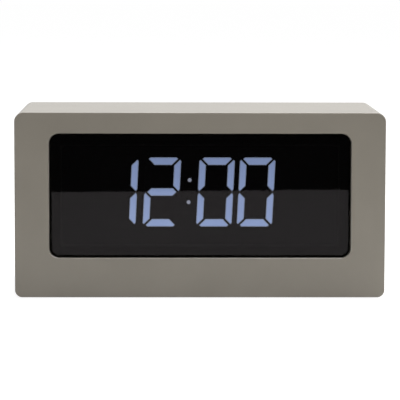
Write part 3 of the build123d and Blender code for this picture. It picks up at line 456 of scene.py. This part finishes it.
def settle(piece, place, facing=FACING_UP):
    """Moves and turns a piece into place, and puts its place into its mesh."""
    piece.location = place
    piece.rotation_euler = facing
    take(piece)
    bpy.ops.object.transform_apply(location=True, rotation=True, scale=True)
    return piece


def spun(turn_deg):
    """A turn about the upright axis."""
    return (0, 0, math.radians(turn_deg))


def join(name, pieces):
    """Joins several pieces into one."""
    begin()
    for piece in pieces:
        piece.select_set(True)
    bpy.context.view_layer.objects.active = pieces[0]
    if len(pieces) > 1:
        bpy.ops.object.join()
    pieces[0].name = name
    return pieces[0]


def dress(piece, finish_name, body, smooth_deg=SMOOTH_DEG, replaced=()):
    """Gives a finished piece its material, its shading and the body that it rides on."""
    piece.data.materials.clear()
    piece.data.materials.append(finishes[finish_name])
    take(piece)
    bpy.ops.object.shade_smooth_by_angle(angle=math.radians(smooth_deg))
    if replaced:
        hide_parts(*replaced)
    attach(piece, body)
    return piece


def drawn_round(name, rings, sides=48):
    """A round piece drawn up out of a disc. Rings are (height, radius) in mm."""
    begin()
    (height, radius), *rest = rings
    bpy.ops.mesh.primitive_circle_add(vertices=sides, radius=radius * MM, fill_type="NGON",
                                      location=(0, 0, height * MM))
    piece = bpy.context.active_object
    piece.name = name
    edit(piece)
    bpy.ops.mesh.select_all(action="SELECT")
    for next_height, next_radius in rest:
        rise = {"value": (0, 0, (next_height - height) * MM), "orient_type": "GLOBAL"}
        bpy.ops.mesh.extrude_region_move(TRANSFORM_OT_translate=rise)
        share = next_radius / radius
        bpy.ops.transform.resize(value=(share, share, 1), center_override=(0, 0, 0))
        height, radius = next_height, next_radius
    leave()
    return piece


def block(name, size_mm, chamfer_mm):
    """A block with chamfered edges, its foot at the origin. Size is (along X, Y, Z) in mm."""
    begin()
    bpy.ops.mesh.primitive_cube_add(size=MM, location=(0, 0, size_mm[2] * MM / 2))
    piece = bpy.context.active_object
    piece.name = name
    piece.scale = size_mm
    bpy.ops.object.transform_apply(location=True, rotation=True, scale=True)
    chamfer = piece.modifiers.new("chamfer", "BEVEL")
    chamfer.width = chamfer_mm * MM
    chamfer.segments = 1
    apply_modifiers(piece)
    return piece


def copied(piece, name, place, facing=FACING_UP):
    """A copy of a piece, with its own mesh, moved and turned into place."""
    take(piece)
    bpy.ops.object.duplicate()
    twin = bpy.context.active_object
    twin.name = name
    return settle(twin, place, facing)


def discard(piece):
    """Removes a pattern piece that has been copied."""
    bpy.data.objects.remove(piece)


def free_copy(node_name, name):
    """A merged copy of a CAD node, free of the node's body and name."""
    take(nodes[node_name])
    bpy.ops.object.duplicate()
    piece = bpy.context.active_object
    piece.name = name
    piece.parent = None
    del piece["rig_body"], piece["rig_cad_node"]
    edit(piece)
    bpy.ops.mesh.customdata_custom_splitnormals_clear()
    bpy.ops.mesh.select_all(action="SELECT")
    bpy.ops.mesh.remove_doubles(threshold=MERGE_MM * MM)
    bpy.ops.mesh.dissolve_limited(angle_limit=FLAT_ANGLE)
    bpy.ops.object.mode_set(mode="OBJECT")
    return piece


def middle(node_name):
    """Middle of a CAD node's box."""
    low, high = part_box(node_name)
    return (low + high) / 2


# Lit bars and dots: the resin swells a little out of its well and dims towards its border

segment_border_mm, dot_border_mm, swell_mm = 0.5, 0.25, 0.12


def lit_resin(node_name, border_mm, finish_name):
    """Stands for a lit CAD node: its front faces get a dimmer border round a raised middle."""
    piece = free_copy(node_name, node_name + "_resin")
    pick(piece, lambda face: face.normal.y < -SQUARELY)
    bpy.ops.mesh.inset(thickness=border_mm * MM, use_even_offset=True)
    bpy.ops.transform.translate(value=(0, -swell_mm * MM, 0))
    bpy.ops.object.mode_set(mode="OBJECT")
    glow_values = piece.data.attributes.new("glow", "FLOAT", "POINT")
    for face in piece.data.polygons:
        if face.select:
            for index in face.vertices:
                glow_values.data[index].value = 1.0
    return dress(piece, finish_name, "case", smooth_deg=20, replaced=(node_name,))


for number in range(1, 5):
    lit_resin(f"digit_{number}_lit", segment_border_mm, "segment_lit")
lit_resin("colon_dots", dot_border_mm, "dot_lit")


# Buttons: a stem, a flange and a cap whose top is dished for a fingertip.
# The cap's profile is (depth below its top, distance inside its rim).

controls = ("set", "up", "down", "dim")
cap_radius_mm, stem_radius_mm, stem_tip_radius_mm = 3.5, 1.6, 1.4
stem_tip_mm, stem_shoulder_mm = 0.2, 0.35
flange_reach_mm, flange_thick_mm = 4.4, 1.0
cap_profile = [(0.45, 0), (0.2, 0.07), (0.05, 0.22), (0, 0.45), (0.05, 0.75), (0.16, 1.3),
               (0.24, 2.1), (0.27, 2.9)]
low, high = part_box("button_set")
button_length_mm = (high.y - low.y) / MM
flange_radius_mm = (high.x - low.x) / 2 / MM
flange_foot_mm = button_length_mm - flange_reach_mm
flange_top_mm = flange_foot_mm + flange_thick_mm
button = drawn_round("button", [
    (stem_tip_mm, stem_tip_radius_mm), (stem_shoulder_mm, stem_radius_mm),
    (flange_foot_mm, stem_radius_mm), (flange_foot_mm, flange_radius_mm),
    (flange_top_mm, flange_radius_mm), (flange_top_mm, cap_radius_mm),
    *[(button_length_mm - down, cap_radius_mm - inward) for down, inward in cap_profile],
], sides=64)
for control in controls:
    low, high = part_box(f"button_{control}")
    centre = (low + high) / 2
    cap = copied(button, f"button_{control}_cap", (centre.x, low.y, centre.z), FACING_BACK)
    dress(cap, "button_plastic", f"{control}_button",
          smooth_deg=40, replaced=(f"button_{control}",))
discard(button)


# Rear screws: a pan head with a tapered cross, on a shank with a pointed end.
# The head's profile is (height above its foot, distance inside its rim).

head_radius_mm, head_thick_mm, head_crown_mm = 2.7, 1.7, 0.5
shank_radius_mm, point_radius_mm, point_mm, taper_mm = 1.5, 0.4, 0.3, 1.6
head_profile = [(0, 0.15), (0.12, 0), (0.6, 0), (1.05, 0.25), (1.4, 0.75), (1.6, 1.4)]
cross_arm_mm, cross_depth_mm = (3.1, 0.75, 1.6), 1.1
cross_chamfer_mm, cross_taper = 0.05, (0.45, 0.6, 1)
screw_turns_deg = (12, 47, -20, 71)
screw_low, screw_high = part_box("rear_screws")
screw_length_mm = (screw_high.y - screw_low.y) / MM
head_foot_mm = screw_length_mm - head_thick_mm
screw = drawn_round("rear_screw", [
    (point_mm, point_radius_mm), (taper_mm, shank_radius_mm), (head_foot_mm, shank_radius_mm),
    *[(head_foot_mm + up, head_radius_mm - inward) for up, inward in head_profile],
    (screw_length_mm, head_crown_mm),
])
cross_place = (0, 0, (screw_length_mm - cross_depth_mm) * MM)
arms = []
for turn_deg in (0, 90):
    arm = block("cutter_arm", cross_arm_mm, cross_chamfer_mm)
    pick(arm, lambda face: face.normal.z < -SQUARELY)
    resize_picked(cross_taper)
    arms.append(settle(arm, cross_place, spun(turn_deg)))
for arm in arms:
    recess = screw.modifiers.new("recess", "BOOLEAN")
    recess.operation = "DIFFERENCE"
    recess.solver = "EXACT"
    recess.object = arm
apply_modifiers(screw)
for arm in arms:
    discard(arm)
edit(screw)
bpy.ops.mesh.select_all(action="SELECT")
bpy.ops.mesh.remove_doubles(threshold=MERGE_MM * MM)
leave()
screw_xs = (screw_low.x + head_radius_mm * MM, screw_high.x - head_radius_mm * MM)
screw_zs = (screw_low.z + head_radius_mm * MM, screw_high.z - head_radius_mm * MM)
screw_places = [(x, screw_low.y, z) for x in screw_xs for z in screw_zs]
screws = []
for number, (screw_place, turn_deg) in enumerate(zip(screw_places, screw_turns_deg), start=1):
    turned = copied(screw, f"rear_screw_{number}", (0, 0, 0), spun(turn_deg))
    screws.append(settle(turned, screw_place, FACING_BACK))
discard(screw)
dress(join("rear_screw_set", screws), "screw_black", "case",
      smooth_deg=30, replaced=("rear_screws",))


# Cells: a wrapped can, turned in over its ends, with a bare base and a stepped cap.
# The base's profile is (height, radius), and the cap's is (depth below its end, radius).

cell_ways = {1: FACING_RIGHT, 2: FACING_LEFT, 3: FACING_RIGHT}
cell_base = [(0.12, 3.2), (0, 3.7), (0, 4.2), (0.14, 4.45), (0.05, 4.6), (0.08, 4.9), (0.3, 5.15),
             (0.6, 5.25)]
cell_cap = [(1.45, 5.25), (1.1, 5.12), (0.95, 4.9), (0.92, 4.6), (1.02, 4.45), (1.02, 2.6),
            (0.85, 2.2), (0.3, 1.9), (0.08, 1.82), (0, 1.6)]
bare_radius_mm, bare_base_mm, bare_cap_mm = 4.5, 0.5, 1.5
low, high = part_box("battery_cell_1")
cell_length_mm = (high.x - low.x) / MM
can = drawn_round("can", cell_base + [(cell_length_mm - down, radius) for down, radius in cell_cap])
can.data.materials.append(finishes["cell_wrap"])
can.data.materials.append(finishes["tin"])
for face in can.data.polygons:
    height_mm = face.center.z / MM
    corners = [can.data.vertices[index].co for index in face.vertices]
    reach_mm = max(math.hypot(corner.x, corner.y) for corner in corners) / MM
    at_end = height_mm < bare_base_mm or height_mm > cell_length_mm - bare_cap_mm
    face.material_index = 1 if reach_mm < bare_radius_mm and at_end else 0
for number, facing in cell_ways.items():
    low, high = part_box(f"battery_cell_{number}")
    start = low.x if facing == FACING_RIGHT else high.x
    centre = (low + high) / 2
    cell = copied(can, f"cell_{number}", (start, centre.y, centre.z), facing)
    bpy.ops.object.shade_smooth_by_angle(angle=math.radians(SMOOTH_DEG))
    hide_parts(f"battery_cell_{number}")
    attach(cell, "case")
discard(can)


# Contacts of the power inlet: twelve narrow pads on each face of the tongue

pad_size_mm, pad_chamfer_mm, pad_pitch_mm, pad_setback_mm = (0.3, 3.6, 0.05), 0.02, 0.5, 2.0
pad_count = 12
tongue_low, tongue_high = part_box("usb_inlet_tongue")
tongue_middle = (tongue_low + tongue_high) / 2
pad_y = tongue_high.y - pad_setback_mm * MM
pad = block("inlet_pad", pad_size_mm, pad_chamfer_mm)
pads = []
for step in range(pad_count):
    x = tongue_middle.x + (step - (pad_count - 1) / 2) * pad_pitch_mm * MM
    pads.append(copied(pad, "inlet_pad_upper", (x, pad_y, tongue_high.z)))
    pads.append(copied(pad, "inlet_pad_lower", (x, pad_y, tongue_low.z), FACING_DOWN))
discard(pad)
dress(join("inlet_contacts", pads), "gold", "case")


# Marks on the rear cover, printed over each control

ink_mm, ink_chamfer_mm = 0.04, 0.01
mark_rise_mm = 7.6
cover_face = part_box("rear_cover")[1].y


def printed(name, parts, x, z):
    """Joins flat parts drawn about the origin into one printed mark on the rear cover."""
    mark = join(name, parts)
    settle(mark, (x, cover_face, z), FACING_BACK)
    return dress(mark, "ink", "case")


def flat_disc(radius_mm, sides, hole_mm=0.0):
    """A thin printed disc, or a ring where it has a hole."""
    begin()
    bpy.ops.mesh.primitive_circle_add(vertices=sides, radius=radius_mm * MM, fill_type="NGON")
    disc = bpy.context.active_object
    edit(disc)
    bpy.ops.mesh.select_all(action="SELECT")
    if hole_mm:
        bpy.ops.mesh.inset(thickness=(radius_mm - hole_mm) * MM)
        bpy.ops.mesh.delete(type="FACE")
        bpy.ops.mesh.select_all(action="SELECT")
    bpy.ops.mesh.extrude_region_move(TRANSFORM_OT_translate={"value": (0, 0, ink_mm * MM)})
    leave()
    return disc


def flat_bar(length_mm, width_mm, place_mm, turn_deg):
    """A thin printed bar."""
    bar = block("bar", (width_mm, length_mm, ink_mm), ink_chamfer_mm)
    return settle(bar, (place_mm[0] * MM, place_mm[1] * MM, 0), spun(turn_deg))


def clock_mark():
    """A ring with two hands, a hair apart so that they do not overlap."""
    ring_mm, hole_mm, hand_mm = 1.7, 1.4, 0.28
    long_hand_mm, long_place_mm = 1.19, (0, 0.455)
    short_hand_mm, short_place_mm = 0.74, (0.52, 0)
    return [flat_disc(ring_mm, 40, hole_mm),
            flat_bar(long_hand_mm, hand_mm, long_place_mm, 0),
            flat_bar(short_hand_mm, hand_mm, short_place_mm, 90)]


def triangle_mark(turn_deg):
    """A solid triangle."""
    corner_mm = 1.7
    return [settle(flat_disc(corner_mm, 3), (0, 0, 0), spun(turn_deg))]


def sun_mark():
    """A disc with eight rays."""
    disc_mm, ray_count, ray_place_mm, ray_mm, ray_width_mm = 0.8, 8, 1.5, 0.6, 0.26
    rays = []
    for step in range(ray_count):
        turn_deg = 360 / ray_count * step
        turn = math.radians(turn_deg)
        place_mm = (-ray_place_mm * math.sin(turn), ray_place_mm * math.cos(turn))
        rays.append(flat_bar(ray_mm, ray_width_mm, place_mm, turn_deg))
    return [flat_disc(disc_mm, 32), *rays]


def bell_mark():
    """A bell: a dome over a flared skirt, on a foot, with a clapper. The parts do not overlap."""
    dome_mm, clapper_mm, clapper_drop_mm, off_centre_mm = 0.95, 0.32, 1.49, 0.01
    skirt_mm, skirt_drop_mm, skirt_flare = 1.2, 0.2, 1.25
    foot_mm, foot_thick_mm, foot_drop_mm = 2.9, 0.36, 0.98
    dome = flat_disc(dome_mm, 32)
    pick(dome, lambda face: face.center.y < -off_centre_mm * MM)
    resize_picked((1, 0, 1))
    skirt = block("skirt", (2 * dome_mm, skirt_mm, ink_mm), ink_chamfer_mm)
    pick(skirt, lambda face: face.normal.y < -SQUARELY)
    resize_picked((skirt_flare, 1, 1))
    settle(dome, (0, (skirt_mm / 2 - skirt_drop_mm) * MM, 0))
    settle(skirt, (0, -skirt_drop_mm * MM, 0))
    clapper = settle(flat_disc(clapper_mm, 20), (0, -clapper_drop_mm * MM, 0))
    return [dome, skirt, clapper, flat_bar(foot_mm, foot_thick_mm, (0, -foot_drop_mm), 90)]


def word(text, size_mm):
    """A printed word, centred."""
    begin()
    bpy.ops.object.text_add()
    lettering = bpy.context.active_object
    lettering.data.body = text
    lettering.data.size = size_mm * MM
    lettering.data.extrude = ink_mm * MM / 2
    lettering.data.align_x = "CENTER"
    lettering.data.align_y = "CENTER"
    lettering.data.resolution_u = 4
    bpy.ops.object.convert(target="MESH")
    return [settle(bpy.context.active_object, (0, 0, ink_mm * MM / 2))]


switch_word_mm, supply_word_mm, supply_rise_mm = 2.2, 2.6, 5.0
slot_shift_mm, alarm_drop_mm, off_shift_mm, on_shift_mm = 1.0, 0.8, 6.2, 5.8
button_z = middle("button_up").z
mark_z = button_z + mark_rise_mm * MM
slot_x = middle("slide_switch_knob").x + slot_shift_mm * MM
inlet_middle = middle("usb_inlet_shell")
printed("mark_set", clock_mark(), middle("button_set").x, mark_z)
printed("mark_up", triangle_mark(0), middle("button_up").x, mark_z)
printed("mark_down", triangle_mark(180), middle("button_down").x, mark_z)
printed("mark_dim", sun_mark(), middle("button_dim").x, mark_z)
printed("mark_alarm", bell_mark(), slot_x, mark_z - alarm_drop_mm * MM)
printed("mark_off", word("OFF", switch_word_mm), slot_x - off_shift_mm * MM, button_z)
printed("mark_on", word("ON", switch_word_mm), slot_x + on_shift_mm * MM, button_z)
printed("mark_supply", word("5 V", supply_word_mm), inlet_middle.x,
        inlet_middle.z + supply_rise_mm * MM)


# Battery door: a moulded arrow that shows which way it opens

arrow_profile = [(0, 2.3), (0.12, 2.3), (0.18, 2.15)]
arrow_sink_mm, arrow_drop_mm = 0.02, 11.5
door_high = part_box("battery_door")[1]
arrow_place = (middle("battery_door").x, door_high.y - arrow_sink_mm * MM,
               door_high.z - arrow_drop_mm * MM)
arrow = settle(drawn_round("door_arrow", arrow_profile, sides=3), arrow_place, FACING_BACK)
dress(arrow, "cover_plastic", "door")


# Contact buttons on the plates, where the cells' caps press

dimple_profile = [(0, 1.5), (0.03, 1.4), (0.06, 1.1), (0.08, 0.6)]
plate_thick_mm = 0.4
plate_low, plate_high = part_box("battery_contacts")
dimple = drawn_round("dimple", dimple_profile, sides=32)
dimples = []
for number, facing in cell_ways.items():
    centre = middle(f"battery_cell_{number}")
    if facing == FACING_RIGHT:
        plate_x, dimple_facing = plate_high.x - plate_thick_mm * MM, FACING_LEFT
    else:
        plate_x, dimple_facing = plate_low.x + plate_thick_mm * MM, FACING_RIGHT
    place = (plate_x, centre.y, centre.z)
    dimples.append(copied(dimple, "dimple_copy", place, dimple_facing))
discard(dimple)
dress(join("contact_dimples", dimples), "contact_nickel", "case")


# Small parts soldered to the boards, at places (x, z, upright) in mm from a larger part

chip_length_mm, chip_width_mm, chip_thick_mm, chip_chamfer_mm = 2.0, 1.25, 0.6, 0.05
end_length_share, end_place_share, end_proud_mm = 0.22, 0.42, 0.06
controller_places = [(9, 4, True), (9, 0, True), (9, -4, True), (12, 4, True), (12, 0, True),
                     (-2, 9, False), (3, 9, False)]
regulator_places = [(6, 0, True), (9, 0, True), (12, 0, True)]
driver_places = [(-12, 3, True), (-12, -3, True), (12, 3, True), (12, -3, True), (-16, 3, True),
                 (-16, -3, True), (-6, 9, False), (0, 9, False), (6, 9, False)]


def chip_part():
    """A small two-ended board part: a ceramic body with metal ends."""
    body = block("chip_body", (chip_length_mm, chip_width_mm, chip_thick_mm), chip_chamfer_mm)
    end_size_mm = (chip_length_mm * end_length_share, chip_width_mm + end_proud_mm,
                   chip_thick_mm + end_proud_mm)
    ends = []
    for side in (-1, 1):
        end = block("chip_end", end_size_mm, chip_chamfer_mm)
        ends.append(settle(end, (side * chip_length_mm * end_place_share * MM, 0, 0)))
    return body, join("chip_ends", ends)


def places_from(node_name, places_mm):
    """Places on a board, given from the middle of a part on it."""
    centre = middle(node_name)
    return [(centre.x + x * MM, centre.z + z * MM, upright) for x, z, upright in places_mm]


def board_parts(name, places, face_y, facing):
    """Copies of the small part at places (x, z, upright) on one face of a board."""
    body, ends = chip_part()
    bodies, all_ends = [], []
    for x, z, upright in places:
        spin = Euler(spun(90 if upright else 0))
        turn = (Euler(facing).to_matrix() @ spin.to_matrix()).to_euler()
        bodies.append(copied(body, "part_body", (x, face_y, z), turn))
        all_ends.append(copied(ends, "part_ends", (x, face_y, z), turn))
    discard(body)
    discard(ends)
    dress(join(name + "_bodies", bodies), "ceramic", "case")
    dress(join(name + "_ends", all_ends), "solder", "case")


main_low, main_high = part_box("main_board")
main_places = places_from("microcontroller", controller_places)
main_places += places_from("voltage_regulator", regulator_places)
board_parts("main_small_parts", main_places, main_low.y, FACING_FRONT)
display_places = places_from("display_driver", driver_places)
board_parts("display_small_parts", display_places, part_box("display_board")[1].y, FACING_BACK)


# Solder cones under the parts with legs, with the cut end of a leg in each

cone_profile = [(0, 0.95), (0.15, 0.75), (0.45, 0.42), (0.8, 0.3), (1.0, 0.28), (1.05, 0.2)]
buzzer_leg_mm, switch_leg_x_mm, switch_leg_z_mm = 3.8, 3.25, 2.25
pin_count, pin_pitch_mm, pin_row_mm = 10, 1.27, 1.0


def cones(name, places, face_y, facing):
    """Solder cones at places (x, z) on one face of the main board."""
    cone = drawn_round("cone", cone_profile, sides=20)
    made = [copied(cone, "cone_copy", (x, face_y, z), facing) for x, z in places]
    discard(cone)
    dress(join(name, made), "solder", "case")


buzzer_middle = middle("buzzer")
header_middle = middle("ribbon_connectors")
leg_places = [(buzzer_middle.x + side * buzzer_leg_mm * MM, buzzer_middle.z) for side in (-1, 1)]
for control in controls:
    press = middle(f"button_{control}")
    leg_places += [(press.x + side * switch_leg_x_mm * MM, press.z + level * switch_leg_z_mm * MM)
                   for side in (-1, 1) for level in (-1, 1)]
cones("main_front_solder", leg_places, main_low.y, FACING_FRONT)
pin_xs = [header_middle.x + (step - (pin_count - 1) / 2) * pin_pitch_mm * MM
          for step in range(pin_count)]
pin_places = [(x, header_middle.z + level * pin_row_mm * MM) for x in pin_xs for level in (-1, 1)]
cones("main_rear_solder", pin_places, main_high.y, FACING_BACK)


# Camera, fitted to the photograph

camera_data = bpy.data.cameras.new("camera")
camera_data.sensor_width = 36
camera_data.lens = 210.18
camera_data.clip_start = 0.05
camera_data.clip_end = 40
camera = bpy.data.objects.new("camera", camera_data)
bpy.context.scene.collection.objects.link(camera)
camera.location = (-0.0152, -1.0393, 0.1455)
pitch, yaw, roll = 0.10174, 0.01511, 0.00226
aim = Matrix.Rotation(-yaw, 3, "Z") @ Matrix.Rotation(math.pi / 2 - pitch, 3, "X")
camera.rotation_euler = (aim @ Matrix.Rotation(roll, 3, "Z")).to_euler()
bpy.context.scene.camera = camera


# Stage: a pale floor, a white room and a dark screen that only reflections see

floor_size, fibres_per_metre = 14, 900.0
floor_glow, floor_shade, room_level = 0.95, 0.22, 0.2
screen_gap, screen_size, screen_height = 0.479, (3.0, 1.6), 0.8
screen_turn_deg, screen_glow = -5.5, 0.08
clock_middle = Vector((0, 0, 0.04))


def seen_directly(tree):
    """1 for rays from the camera, from gloss and through glass, and 0 for other light."""
    path = add(tree, "LightPath").outputs
    seen = add(tree, "Math", {0: path["Is Camera Ray"], 1: path["Is Glossy Ray"]},
               operation="MAXIMUM").outputs[0]
    return add(tree, "Math", {0: seen, 1: path["Is Transmission Ray"]},
               operation="MAXIMUM").outputs[0]


# White paper sweep: warm white where it lights the clock, and bright where it is seen itself. From
# below it is clear.
begin()
bpy.ops.mesh.primitive_plane_add(size=floor_size)
floor = bpy.context.active_object
floor.name = "floor"
paper, tree, unused_shader = new_material("paper_white_sweep")
tree.nodes.remove(unused_shader)
place = add(tree, "TexCoord").outputs["Object"]
fibre = add(tree, "TexNoise", {"Vector": place, "Scale": fibres_per_metre}).outputs[0]
white = add(tree, "Mix", {SHARE: fibre, FIRST_COLOUR: srgb("#EEECE8"),
                          SECOND_COLOUR: srgb("#EAE8E4")}, data_type="RGBA").outputs[MIXED_COLOUR]
dull = add(tree, "BsdfDiffuse", {"Color": white}).outputs[0]
faint = add(tree, "BsdfDiffuse", {"Color": (floor_shade, floor_shade, floor_shade, 1)}).outputs[0]
bright = add(tree, "Emission", {"Color": WHITE, "Strength": floor_glow}).outputs[0]
shown = add(tree, "AddShader", {0: faint, 1: bright}).outputs[0]
sheet = add(tree, "MixShader", {0: seen_directly(tree), 1: dull, 2: shown}).outputs[0]
clear = add(tree, "BsdfTransparent").outputs[0]
below = add(tree, "NewGeometry").outputs["Backfacing"]
sheet = add(tree, "MixShader", {0: below, 1: sheet, 2: clear}).outputs[0]
tree.links.new(sheet, tree.nodes["Material Output"].inputs["Surface"])
floor.data.materials.append(paper)

world = bpy.data.worlds.new("white_room")
bpy.context.scene.world = world
world.use_nodes = True
tree = world.node_tree
strength = add(tree, "Math", {0: seen_directly(tree), 1: 1 - room_level, 2: room_level},
               operation="MULTIPLY_ADD")
tree.nodes["Background"].inputs["Color"].default_value = WHITE
tree.links.new(strength.outputs[0], tree.nodes["Background"].inputs["Strength"])

# Black velvet screen in front of the clock
begin()
bpy.ops.mesh.primitive_plane_add(size=1)
screen = bpy.context.active_object
screen.name = "dark_screen"
screen.scale = (*screen_size, 1)
screen_place = (0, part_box("lens")[0].y - screen_gap, screen_height)
settle(screen, screen_place, (FACING_FRONT[0], 0, math.radians(screen_turn_deg)))
velvet = new_material("velvet_black", Base_Color=BLACK, Specular_IOR_Level=0.0,
                      Emission_Color=WHITE, Emission_Strength=screen_glow)[0]
screen.data.materials.append(velvet)
for kind in ("camera", "diffuse", "volume_scatter", "shadow"):
    setattr(screen, "visible_" + kind, False)


def soft_lamp(name, place, size, power):
    """A square soft box that looks at the middle of the clock."""
    data = bpy.data.lights.new(name, "AREA")
    data.size = size
    data.energy = power
    lamp = bpy.data.objects.new(name, data)
    bpy.context.scene.collection.objects.link(lamp)
    lamp.location = place
    lamp.rotation_euler = (clock_middle - Vector(place)).to_track_quat("-Z", "Y").to_euler()


soft_lamp("overhead_soft_box", (0.35, 0.05, 1.2), size=0.9, power=30.5)
soft_lamp("front_soft_box", (0.85, -0.75, 0.75), size=0.6, power=3.8)

bpy.context.scene.view_settings.view_transform = "Standard"
